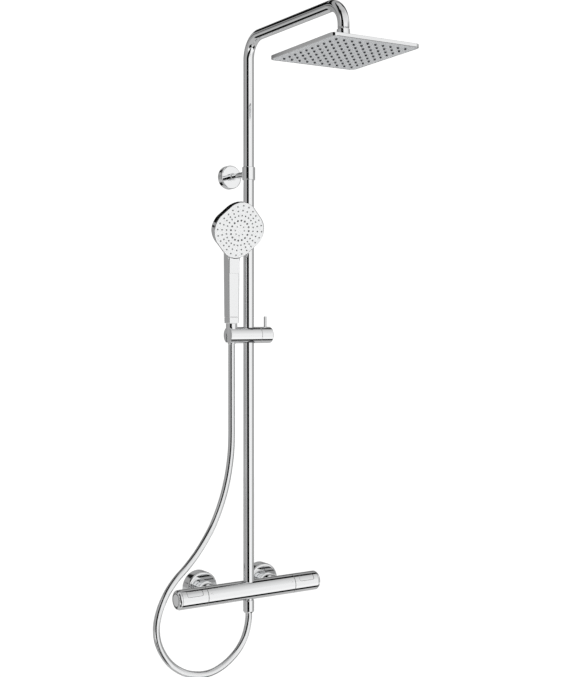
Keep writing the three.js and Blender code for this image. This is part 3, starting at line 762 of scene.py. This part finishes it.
# ---- wall unions and rosettes
UNION_BORE = 10.9  # the bore of a rosette and of its nut, a radius in millimetres


def rosette(node, bore, wall, edge, fillet):
    """A round cover against the wall, hollow behind, with its front edge rounded."""
    centre, radius, front, back = turned_space(node, "y")
    inside, floor = radius - wall, front + wall
    turned_node(node, [
        (bore, front), (radius, front, edge), (radius, back, 0.4), (inside, back),
        (inside, floor, fillet), (bore, floor),
    ], "y", centre)


def wall_union(side):
    rosette(f"{side}_rosette", UNION_BORE, 1.6, 4.5, 3)
    centre, radius, front, back = turned_space(f"{side}_union_nut", "y")
    turned_node(f"{side}_union_nut", [
        (13.4, front), (radius, front, 1.5), (radius, back, 1.5), (UNION_BORE, back),
        (UNION_BORE, back - 4), (13.4, back - 4),
    ], "y", centre)

    centre, radius, front, back = turned_space(f"{side}_union", "y")
    turned_node(f"{side}_union", [
        (7.5, front), (radius, front), (radius, front + 4), (10.5, front + 4), (10.5, back),
        (7.5, back),
    ], "y", centre, SMALL, "chrome")


# ---- valve body and handles
BAR_R = 20  # this and the sizes below are in millimetres
CHAMBER_R = 16
CHAMBER_END = 60
HANDLE_JOINT = 105
SLEEVE_ENDS = (105.2, 162.9)
SLEEVE_BORE = 17.4
BAR_END = 170
SHOULDER = 6.5  # rounding of the bar's ends
BUTTON_TURN = math.radians(50)  # the buttons sit this far forward of the bar's top
BUTTON_X = 134.5
BUTTON_SIZE = (35, 13.6, 3)
BUTTON_GAP = 0.5
BUTTON_SEAM = 18.8  # from the bar's axis, as the pad's and the skirt's other heights
BAR_CENTRE = Vector((0, *joint_place("flow_handle_turn").yz))


def valve_body():
    half = HANDLE_JOINT - 0.6
    body = turned("valve_body_finish", [
        (BAR_R, -half, 0.5), (BAR_R, half, 0.5), (CHAMBER_R, half), (CHAMBER_R, CHAMBER_END),
        (5, CHAMBER_END), (5, -CHAMBER_END), (CHAMBER_R, -CHAMBER_END), (CHAMBER_R, -half),
    ], "x", BAR_CENTRE, 128)
    bosses = [drill(9, -33, -15, "z", BAR_CENTRE)]
    bores = [drill(11.35, 6, 22, "z", BAR_CENTRE, 64), drill(5, -34, 7, "z", BAR_CENTRE)]
    for side in ("left", "right"):
        place = BAR_CENTRE + Vector((space(f"{side}_union_nut")[0].x, 0, 0))
        bosses.append(drill(13, 12, 36, "y", place, 64))
        bores.append(drill(9, 10, 37, "y", place))
    combine(body, bosses, "UNION")
    cut_node(body, "valve_body", bores, "x", BAR_CENTRE, BAR_R)
    for name, sign in (("left_joint_ring", -1), ("right_joint_ring", 1)):
        near, far = sign * half, sign * (HANDLE_JOINT + 0.1)
        ring = turned(name, [(17, near), (19.4, near), (19.4, far), (17, far)], "x", BAR_CENTRE)
        attach(shade(ring), "column", "rubber")


def bar_handle(prefix, button, sign):
    handle, cap = f"{prefix}_handle", f"{prefix}_handle_cap"

    def ring(name, corners, sides=ROUND):
        profile = [(radius, sign * along, *rest) for radius, along, *rest in corners]
        return turned(name, profile, "x", BAR_CENTRE, sides)

    near, far = SLEEVE_ENDS
    sleeve = ring(f"{handle}_finish", [
        (BAR_R, near, 0.4), (BAR_R, far, 0.3), (SLEEVE_BORE, far), (SLEEVE_BORE, near)], 128)
    window = button_plate("window", sign, BUTTON_GAP, [(0, 14), (0, 24)])
    cut_node(sleeve, handle, [window], "x", BAR_CENTRE, BAR_R)

    # the rounded end, with a disc set in its flat face behind a dark seam
    angles = [math.radians(degrees) for degrees in range(84, 0, -6)]
    shoulder = [
        (BAR_R - SHOULDER * (1 - math.sin(t)), BAR_END - SHOULDER * (1 - math.cos(t)))
        for t in angles]
    end = ring(f"{cap}_finish", [
        (0, 153), (15, 153), (15, 163.3), (BAR_R, 163.3, 0.2), *shoulder, (13.9, BAR_END, 0.2),
        (13.9, 169), (12.5, 169), (12.5, 169.9, 0.4), (0, BAR_END)])
    stand_for(shade(end), cap)
    seam = ring(f"{cap}_seam", [(12.7, 168.8), (13.7, 168.8), (13.7, 169.4), (12.7, 169.4)])
    attach(shade(seam), BODY_OF[cap], "rubber")
    handle_button(button, sign)


def button_plate(name, sign, grow, levels):
    """A plate with the button's outline, wrapped round the bar: its depths are radii."""
    def place(a, b, radius):
        angle = BUTTON_TURN + b / (BAR_R * MM)
        arm = Vector((0, -math.sin(angle), math.cos(angle)))
        return BAR_CENTRE + Vector((sign * BUTTON_X * MM + a, 0, 0)) + arm * radius

    width, height, corner = BUTTON_SIZE
    size = (width + 2 * grow, height + 2 * grow, corner + grow)
    return plate(name, size, levels, place, 6, 8)


def handle_button(button, sign):
    """The button in the sleeve: a chrome pad on a dark skirt, over a coil."""
    top = BAR_R - 0.15
    levels = [(0, BUTTON_SEAM), *round_over(0.5, top - 0.5)]
    levels += [(inset, top) for inset in (1.5, 2.5, 3.5, 4.5, 5.5, 6.3)]
    stand_for(shade(button_plate(f"{button}_finish", sign, 0, levels)), button)
    levels = [(0.2, 16), (0.05, BUTTON_SEAM)]
    skirt = button_plate(f"{button}_skirt", sign, 0, levels)
    attach(shade(skirt), BODY_OF[button], "rubber")

    node = f"{button}_spring"
    coil = new_object(f"{node}_finish", frame["nodes"][node].data.copy())
    stand_for(coil, node)
    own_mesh(coil)


def bar_mark(name, corners):
    """A small raised arrow on the bar: corners are (along X, degrees up from the front)."""
    rings = []
    for radius in (BAR_R - 0.1, BAR_R + 0.06):
        ring = []
        for x, degrees in corners:
            angle = math.radians(degrees)
            arm = Vector((x, -radius * math.cos(angle), radius * math.sin(angle)))
            ring.append(BAR_CENTRE + arm * MM)
        rings.append(ring)
    attach(skins(name, [(rings, False)]), "column", "dark_plastic", "print_grey")


# ---- riser, arm and bracket
ARM_BEND = 44 * MM
BEND_STEPS = 28
RISER_BORE = 9.8 * MM
COLLAR_R = 13.6  # the bracket's collar and rod, in millimetres
COLLAR_HALF = 13.4
ROD_R = 6.1


def riser():
    centre, radius, foot, top = turned_space("lower_riser_tube", "z")
    bore = RISER_BORE / MM
    profile = [(bore, foot), (radius, foot), (radius, top), (bore, top)]
    turned_node("lower_riser_tube", profile, "z", centre)


def arm_line():
    """The arm's centre line: up the riser, over the top bend, along, and down to the ball."""
    centre, half, low, high = space("shower_arm")
    radius = half.x
    rear_y, front_y = high.y - radius, low.y + radius
    level = high.z - radius
    start_z = space("lower_riser_tube")[3].z + 0.3 * MM
    line = [(rear_y, start_z)]
    quarter = [math.pi / 2 * i / BEND_STEPS for i in range(BEND_STEPS + 1)]
    line += [(rear_y - ARM_BEND * (1 - math.cos(angle)), level - ARM_BEND * (1 - math.sin(angle)))
             for angle in quarter]
    line += [(front_y + ARM_BEND * (1 - math.sin(angle)), level - ARM_BEND * (1 - math.cos(angle)))
             for angle in quarter]
    line.append((front_y, joint_place("head_turn").z + 15.6 * MM))
    return [Vector((centre.x, y, z)) for y, z in line], radius


def arm():
    line, radius = arm_line()
    side = Vector((1, 0, 0))
    outer = tube_rings(line, radius, ROUND, side)
    inner = tube_rings(line, RISER_BORE, ROUND, side)
    lip = tube_rings(line[-2:], radius - 0.4 * MM, ROUND, side)[-1]
    outer[-1] = [point + Vector((0, 0, 0.4 * MM)) for point in outer[-1]]
    pipe = skins("shower_arm_finish", [([*outer, lip, *reversed(inner)], True)])
    stand_for(shade(pipe), "shower_arm")


def bracket():
    """The collar round the riser, and the rod from it to the rosette on the wall."""
    centre = space("bracket_collar")[0]
    collar = turned("bracket_collar_finish", [
        (11.25, -COLLAR_HALF), (COLLAR_R, -COLLAR_HALF, 2.2), (COLLAR_R, COLLAR_HALF, 2.2),
        (11.25, COLLAR_HALF),
    ], "z", centre)
    cut_node(collar, "bracket_collar", [drill(6.4, 8, 16, "y", centre)], "z", centre, COLLAR_R)

    turned_node("bracket_rod", [
        (0, -74.3), (ROD_R, -74.3), (ROD_R, -23.5, 1.5), (8, -22.5, 0.5), (8, -15.3),
        (5.8, -15.3), (5.8, -4.6), (0, -4.6),
    ], "y", Vector((centre.x, 0, centre.z)), 64)

    rosette("bracket_rosette", ROD_R, 1.5, 3.2, 2)


# ---- rain head
HEAD_LEAN = (-1.7, -1.55, 2.1)  # degrees about X, Y, Z: how the head hangs on its ball
BALL_R = 9.5  # this and the sizes below are in millimetres
HEAD_SIZE = (200, 200, 12)
HEAD_FACE = -32  # under the ball's centre
HEAD_DEPTH = 6.5
SHEET_SIZE = (194.4, 194.4, 9.2)
MAT_SIZE = (192, 192, 8)
NOZZLE_ROWS = 10
NOZZLE_PITCH = 17.6
NOZZLE_DEPTH = 2.1  # how far the tips stand out of the face


def flat(a, b, depth):
    return Vector((a, b, depth))


def hang(piece):
    """Sets a piece that was built round the ball's centre on the leaning rain head."""
    lean = Euler([math.radians(value) for value in HEAD_LEAN], "XYZ").to_matrix().to_4x4()
    piece.data.transform(Matrix.Translation(joint_place("head_turn")) @ lean)
    return piece


def ball_stud():
    angles = [math.radians(degrees) for degrees in range(-60, 51, 10)]
    ball = [(BALL_R * math.cos(angle), BALL_R * math.sin(angle)) for angle in angles]
    turned_node("arm_ball_stud", [
        (3.5, -8.8), *ball, (4.8, 8.4, 0.6), (4.8, 15.9), (9.3, 15.9), (9.3, 20), (3.5, 20),
    ], "z", joint_place("head_turn"), 48, "chrome")


def swivel_nut():
    nut = turned("swivel_nut_finish", [
        (10.9, -22), (12.3, -22, 1.2), (12.3, 13.4, 1.6), (9, 13.4), (8.1, 6.4), (10.9, 6.4),
    ], "z", (0, 0, 0), 64)
    stand_for(shade(hang(nut)), "swivel_nut")


def rain_head():
    """The shell and the neck that it hangs from."""
    top = HEAD_FACE + HEAD_DEPTH
    levels = [
        (2.6, top - 1.8), (2.6, HEAD_FACE + 0.15), (2.45, HEAD_FACE), (0.3, HEAD_FACE),
        (0, HEAD_FACE + 0.3), *round_over(0.9, top - 0.9)]
    stand_for(shade(hang(plate("head_shell_finish", HEAD_SIZE, levels, flat))), "head_shell")
    neck = turned("head_neck_finish", [
        (5, -25.6), (14, -25.6, 0.3), (10.3, -23.4, 2), (10.3, -11.2), (8.4, -11.2), (8.4, -20),
        (5, -20),
    ], "z", (0, 0, 0), 48)
    attach(shade(hang(neck)), "rain_head", "chrome")


def in_each_hole(profile, sides):
    """Copies of a turned shape, one at each nozzle: heights are from the face."""
    profile = [(radius, HEAD_FACE + height, *rest) for radius, height, *rest in profile]
    first = -(NOZZLE_ROWS - 1) * NOZZLE_PITCH / 2
    steps = [(first + i * NOZZLE_PITCH) * MM for i in range(NOZZLE_ROWS)]
    return [turned_rings(profile, "z", (x, y, 0), sides) for y in steps for x in steps]


def face_plate():
    levels = [(0, HEAD_FACE + 1.6), (0, HEAD_FACE + 0.7), (0.35, HEAD_FACE + 0.35)]
    sheet = plate("head_face_plate_finish", SHEET_SIZE, levels, flat)
    holes = in_each_hole([(0, -1), (2.7, -1), (2.7, 2.4), (0, 2.4)], 20)
    combine(sheet, [skins("holes", holes)])
    smooth_to(sheet, math.radians(20))
    stand_for(hang(sheet), "head_face_plate")


def head_nozzles():
    """The silicone mat behind the face, with one soft tip through each hole."""
    levels = [(0, HEAD_FACE + 1.9), (0, HEAD_FACE + 3.1)]
    tips = in_each_hole([
        (0, 2.2), (2.4, 2.2), (1.9, -NOZZLE_DEPTH, 0.6), (0.7, -NOZZLE_DEPTH), (0.7, 0.4), (0, 0.4),
    ], 16)
    mat = skins("nozzle_mat_finish", [(plate_rings(MAT_SIZE, levels, flat), False), *tips])
    stand_for(shade(hang(mat)), "nozzle_mat")


# ---- slider
SLIDER_R = 17  # millimetres
SLIDER_CENTRE = Vector((0, *joint_place("slider_swivel").yz))


def slider_bar(node, left_edge, right_edge):
    """A length of the slider's round bar that stands for a node."""
    _, _, left, right = turned_space(node, "x")
    profile = [(0, left), (SLIDER_R, left, left_edge), (SLIDER_R, right, right_edge), (0, right)]
    return turned(f"{node}_finish", profile, "x", SLIDER_CENTRE)


def slider():
    """The bar on the riser, bored for the hose's nut and open to the side there."""
    barrel = slider_bar("slider_body", 0.7, 0.5)
    holder = SLIDER_CENTRE + Vector((space("hose_cone_nut")[0].x, 0, 0))

    def place(a, b, depth):
        return holder + Vector((a - 7 * MM, b, depth))

    cut_node(barrel, "slider_body", [
        turned("seat", [(0, -20), (8.0, -20), (12.6, 20), (0, 20)], "z", holder, 64),
        drill(12.9, -20, 20, "z", SLIDER_CENTRE, 64),
        drill(4.4, 8, 26, "x", SLIDER_CENTRE),
        plate("mouth", (14, 15.6, 0.4), [(0, -20), (0, 20)], place),
    ], "x", SLIDER_CENTRE, SLIDER_R)
    turned_node("slider_bush", [
        (11.15, -15.5), (12.6, -15.5, 0.5), (12.6, 15.5, 0.5), (11.15, 15.5),
    ], "z", SLIDER_CENTRE, 64)


def lock_knob():
    """The knob on the slider's end, with its lever."""
    knob = slider_bar("lock_knob", 0.5, 2.2)
    line, radius, foot, top = turned_space("lock_lever", "z")
    lever_foot = Vector((line.x, *SLIDER_CENTRE.yz))
    cut_node(knob, "lock_knob", [
        drill(3.25, 12, 20, "z", lever_foot), drill(4.3, 20, 37, "x", SLIDER_CENTRE),
    ], "x", SLIDER_CENTRE, SLIDER_R)
    profile = [(0, foot), (radius, foot), (radius, top, 0.9), (0, top)]
    turned_node("lock_lever", profile, "z", line, SMALL)


# ---- handset
HANDSET_SIDE = 106 * MM
HANDSET_CORNER = 40 * MM
HANDSET_RIM = 14 * MM  # straight side of the spray head before its back curves in
HANDSET_BACK = 5 * MM  # depth of the curved back
HANDSET_BACK_INSET = 22 * MM
THIN_BELOW = -5 * MM  # the spray head thins below and above these places on its face,
THIN_ABOVE = 45 * MM
THIN_OVER = 60 * MM  # evenly, so that it would end after this distance,
THINNEST = 0.5  # but no further than to this share of its depth
HANDLE_HALF_WIDTH = 13.5 * MM
HANDLE_HALF_DEPTH = 11.5 * MM
HANDLE_CORNER = 3 * MM
HANDLE_FOOT_SCALE = 0.92
# How the grip narrows and leans forward: height, scale, lean.
HANDLE_STATIONS = [
    (640, 0.965, 0), (700, 1, 0), (718, 0.94, -5), (738, 0.7, -13),
]
HANDLE_TOP = 736 * MM
HANDSET_CELL = 1.2 * MM
# Spray rings: count, radius towards the corners, radius towards the flats, nozzle radius.
SPRAY_RINGS = [
    (8, 10.7, 10.7, 1.25), (16, 21.0, 21.0, 2.0), (24, 31.2, 31.2, 1.6),
    (24, 41.7, 38.2, 1.6), (24, 51.8, 45.6, 1.6),
]
GRIP_CENTRE = Vector(space("handset_end_collar")[0])
GRIP_FOOT = space("handset_shell")[2].z
# the middle of the spray face: its plate is 2.4 mm thick and stands 0.4 mm proud
FACE_CENTRE = Vector(space("handset_face")[0]) + FACE_OUT * (0.8 * MM)


def on_face(a, b, out):
    return FACE_CENTRE + FACE_ACROSS * a + FACE_UP * b + FACE_OUT * out


def on_turned_face(a, b, out):
    """As on_face, with the square's corners turned up, down, left and right."""
    half = math.sqrt(0.5)
    return on_face((a - b) * half, (a + b) * half, out)


def smooth_min(a, b, reach):
    share = np.maximum(reach - np.abs(a - b), 0) / reach
    return np.minimum(a, b) - share * share * reach / 4


def smooth_max(a, b, reach):
    return -smooth_min(-a, -b, reach)


def rounded_box(a, b, half_a, half_b, corner):
    """Distance to a flat rectangle with round corners, below 0 inside."""
    qa = np.abs(a) - (half_a - corner)
    qb = np.abs(b) - (half_b - corner)
    outside = np.hypot(np.maximum(qa, 0), np.maximum(qb, 0))
    return outside + np.minimum(np.maximum(qa, qb), 0) - corner


def spray_head_field(points):
    """The spray head: it thins towards its top corner and towards its foot."""
    arms = points - np.array(FACE_CENTRE)
    a = arms @ np.array(FACE_ACROSS)
    b = arms @ np.array(FACE_UP)
    out = arms @ np.array(FACE_OUT)
    thin = np.minimum(1 + (b - THIN_BELOW) / THIN_OVER, 1 - (b - THIN_ABOVE) / THIN_OVER)
    out = np.where(out < 0, out / np.clip(thin, THINNEST, 1), out)
    turn = math.sqrt(0.5)
    half = HANDSET_SIDE / 2
    edge = rounded_box((a + b) * turn, (b - a) * turn, half, half, HANDSET_CORNER)
    inward = np.maximum(HANDSET_BACK_INSET + edge, 0) / HANDSET_BACK_INSET
    backward = np.maximum(-out - HANDSET_RIM, 0) / HANDSET_BACK
    back = (np.hypot(inward, backward) - 1) * HANDSET_BACK
    return smooth_max(back, out, 1.6 * MM)


def handle_field(points):
    """The grip: it narrows towards the hose, and leans forward into the head at its top."""
    x, y, z = points.T
    stations = [(GRIP_FOOT / MM, HANDLE_FOOT_SCALE, 0), *HANDLE_STATIONS]
    heights, scales, leans = np.array(stations).T
    scale = np.interp(z, heights * MM, scales)
    lean = np.interp(z, heights * MM, leans * MM)
    section = rounded_box(
        (x - GRIP_CENTRE.x) / scale, (y - GRIP_CENTRE.y - lean) / scale,
        HANDLE_HALF_WIDTH, HANDLE_HALF_DEPTH, HANDLE_CORNER)
    ends = np.maximum(GRIP_FOOT - z, z - HANDLE_TOP)
    return smooth_max(section, ends, 1.2 * MM)


def handset_field(points):
    return smooth_min(spray_head_field(points), handle_field(points), 4 * MM)


def slope_of(field, points):
    """The field's slope at each point, by small steps."""
    step = 0.02 * MM
    slope = np.empty_like(points)
    for axis in range(3):
        shift = np.zeros(3)
        shift[axis] = step
        slope[:, axis] = (field(points + shift) - field(points - shift)) / (2 * step)
    return slope


def numbered_cells(inside):
    """Numbers the cells that the surface crosses, with -1 in the others."""
    i_cells, j_cells, k_cells = (count - 1 for count in inside.shape)
    corners = sum(
        inside[i:i_cells + i, j:j_cells + j, k:k_cells + k].astype(int)
        for i in (0, 1) for j in (0, 1) for k in (0, 1))
    crossed = (corners > 0) & (corners < 8)
    number = np.full(crossed.shape, -1)
    number[crossed] = np.arange(crossed.sum())
    return number


def cell_quads(inside, number):
    """A face round each grid edge that the surface crosses, through four numbered cells."""
    faces = []
    for axis in range(3):
        count = inside.shape[axis]
        crossed = np.take(inside, range(count - 1), axis) != np.take(inside, range(1, count), axis)
        u, v = [other for other in range(3) if other != axis]
        places = np.argwhere(crossed)
        places = places[(places[:, u] > 0) & (places[:, v] > 0)]
        corners = []
        for du, dv in ((0, 0), (1, 0), (1, 1), (0, 1)):
            cells = places.copy()
            cells[:, u] -= du
            cells[:, v] -= dv
            corners.append(number[tuple(cells.T)])
        faces += np.stack(corners, 1).tolist()
    return faces


def surface_of(name, field, low, high, cell):
    """Meshes the surface where a field is 0: one point in each crossed cell, set on the surface."""
    ticks = [a + cell * np.arange(math.ceil((b - a) / cell) + 1) for a, b in zip(low, high)]
    grid = np.stack(np.meshgrid(*ticks, indexing="ij"), -1)
    inside = (field(grid.reshape(-1, 3)) < 0).reshape(grid.shape[:3])
    number = numbered_cells(inside)
    points = grid[:-1, :-1, :-1][number >= 0] + cell / 2
    for _ in range(8):
        slope = slope_of(field, points)
        push = field(points) / np.maximum((slope * slope).sum(1), 1e-9)
        points = points - np.clip(push, -0.7 * cell, 0.7 * cell)[:, None] * slope
    mesh = bmesh.new()
    verts = [mesh.verts.new(point) for point in points]
    for quad in cell_quads(inside, number):
        mesh.faces.new([verts[i] for i in quad])
    piece = to_object(name, mesh)
    piece.data.shade_smooth()
    slope = slope_of(field, points)
    normals = slope / np.linalg.norm(slope, axis=1)[:, None]
    piece.data.normals_split_custom_set_from_vertices([tuple(n) for n in normals])
    return piece


def handset_shell():
    _, _, low, high = space("handset_shell")
    margin = Vector((3 * MM, 3 * MM, 3 * MM))
    shell = surface_of(
        "handset_shell_finish", handset_field, low - margin, high + margin, HANDSET_CELL)
    stand_for(shell, "handset_shell")


def spray_places():
    """Ring number, centre and radius of each spray nozzle on the face."""
    places = []
    for ring, (count, corner_radius, flat_radius, size) in enumerate(SPRAY_RINGS):
        for i in range(count):
            angle = math.pi / 2 + 2 * math.pi * i / count
            share = math.cos(2 * angle) ** 2
            radius = flat_radius + (corner_radius - flat_radius) * share
            a, b = radius * math.cos(angle) * MM, radius * math.sin(angle) * MM
            places.append((ring, a, b, size * MM))
    return places


def circle_on_face(a, b, radius, out, sides):
    angles = [2 * math.pi * i / sides for i in range(sides)]
    return [on_face(a + radius * math.cos(t), b + radius * math.sin(t), out) for t in angles]


def handset_face():
    side = HANDSET_SIDE / MM - 5
    size = (side, side, HANDSET_CORNER * side / HANDSET_SIDE)
    levels = [(0, -2), *round_over(0.7, -0.3)]
    face = plate("handset_face_finish", size, levels, on_turned_face, 16)
    holes = []
    for _, a, b, radius in spray_places():
        rings = [circle_on_face(a, b, radius + 0.35 * MM, out, 16) for out in (-0.9 * MM, MM)]
        holes.append((rings, False))
    combine(face, [skins("holes", holes)])
    smooth_to(face, math.radians(25))
    stand_for(face, "handset_face")


# Half outline of a spray tip: share of its radius, millimetres out of the face.
TIP_STEPS = [(1.0, -0.95), (1.0, 0.1), (0.86, 0.5), (0.6, 0.62), (0.34, 0.55), (0.3, -0.2)]


def spray_tips(name, chosen):
    """The soft tips of the chosen rings."""
    groups = []
    for ring, a, b, radius in spray_places():
        if ring in chosen:
            circles = [circle_on_face(a, b, radius * share, out * MM, 14) for share, out in TIP_STEPS]
            groups.append((circles, False))
    return shade(skins(name, groups))


def handset_nozzles():
    """The second ring's tips are darker and larger than the others."""
    tips = spray_tips("spray_tips_pale", (0, 2, 3, 4))
    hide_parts("handset_nozzle_mat")
    attach(tips, "handset", "silicone", "spray_grey")
    attach(spray_tips("spray_tips_dark", (1,)), "handset", "silicone", "spray_dark")


def selector_button():
    """The long button in the front of the grip, flush with it."""
    centre, half, low, _ = space("selector_button")

    def place(a, b, depth):
        return Vector((centre.x + a, low.y - depth, centre.z + b))

    levels = [(0, -2.2), *round_over(0.6, 0.1)]
    size = (2 * half.x / MM, 2 * half.z / MM, 2)
    button = plate("selector_button_finish", size, levels, place)
    stand_for(shade(button), "selector_button")


def handset_foot():
    """The collar at the grip's foot, and the cone nut of the hose under it."""
    centre, _, _, high = space("handset_end_collar")
    bottom = space("hose_cone_nut")[3].z + 0.4 * MM

    def place(a, b, height):
        return Vector((centre.x + a, centre.y + b, bottom + height))

    scale = HANDLE_FOOT_SCALE / MM
    size = (2 * HANDLE_HALF_WIDTH * scale, 2 * HANDLE_HALF_DEPTH * scale, HANDLE_CORNER / MM)
    top = (high.z - bottom) / MM
    levels = [(1.3, 0), (0.6, 0.3), (0.3, 1.2), (0, top - 0.8), (0.25, top - 0.25), (0.8, top)]
    collar = plate("handset_end_collar_finish", size, levels, place)
    stand_for(shade(collar), "handset_end_collar")

    centre, radius, foot, top = turned_space("hose_cone_nut", "z")
    turned_node("hose_cone_nut", [
        (4.6, foot), (7.8, foot, 0.8), (radius, foot + 34, 3), (radius, top, 0.6), (9.4, top),
        (9.4, top - 11), (4.6, top - 11),
    ], "z", centre, 64)


def outlet_nut():
    centre, _, foot, top = turned_space("outlet_nut", "z")
    turned_node("outlet_nut", [
        (4.6, foot), (9.6, foot, 0.5), (11.3, foot + 3, 1), (11.3, top, 0.6), (9.4, top),
        (9.4, foot + 11), (4.6, foot + 11),
    ], "z", centre, 64)


# ---- carried-over nodes
def finish_cad_nodes():
    """The CAD pieces that stay, mostly inside, take the same procedural materials."""
    for node, piece in frame["nodes"].items():
        piece.data.materials.clear()
        piece.data.materials.append(MATERIALS[SLOT_OF[node]])


# ---- assembly
make_camera()
make_materials()
make_hose()
make_world()
make_floor()
make_lights()
finish_cad_nodes()
for side_name in ("left", "right"):
    wall_union(side_name)
valve_body()
bar_handle("flow", "eco_button", -1)
bar_handle("temperature", "safety_button", 1)
bar_mark("temperature_mark", [(94, 16), (99, 24), (94, 32)])
bar_mark("flow_mark", [(-94, 16), (-94, 32), (-99, 24)])
riser()
arm()
bracket()
ball_stud()
swivel_nut()
rain_head()
face_plate()
head_nozzles()
slider()
lock_knob()
handset_shell()
handset_face()
handset_nozzles()
selector_button()
handset_foot()
outlet_nut()

bpy.context.scene.view_settings.view_transform = "Standard"
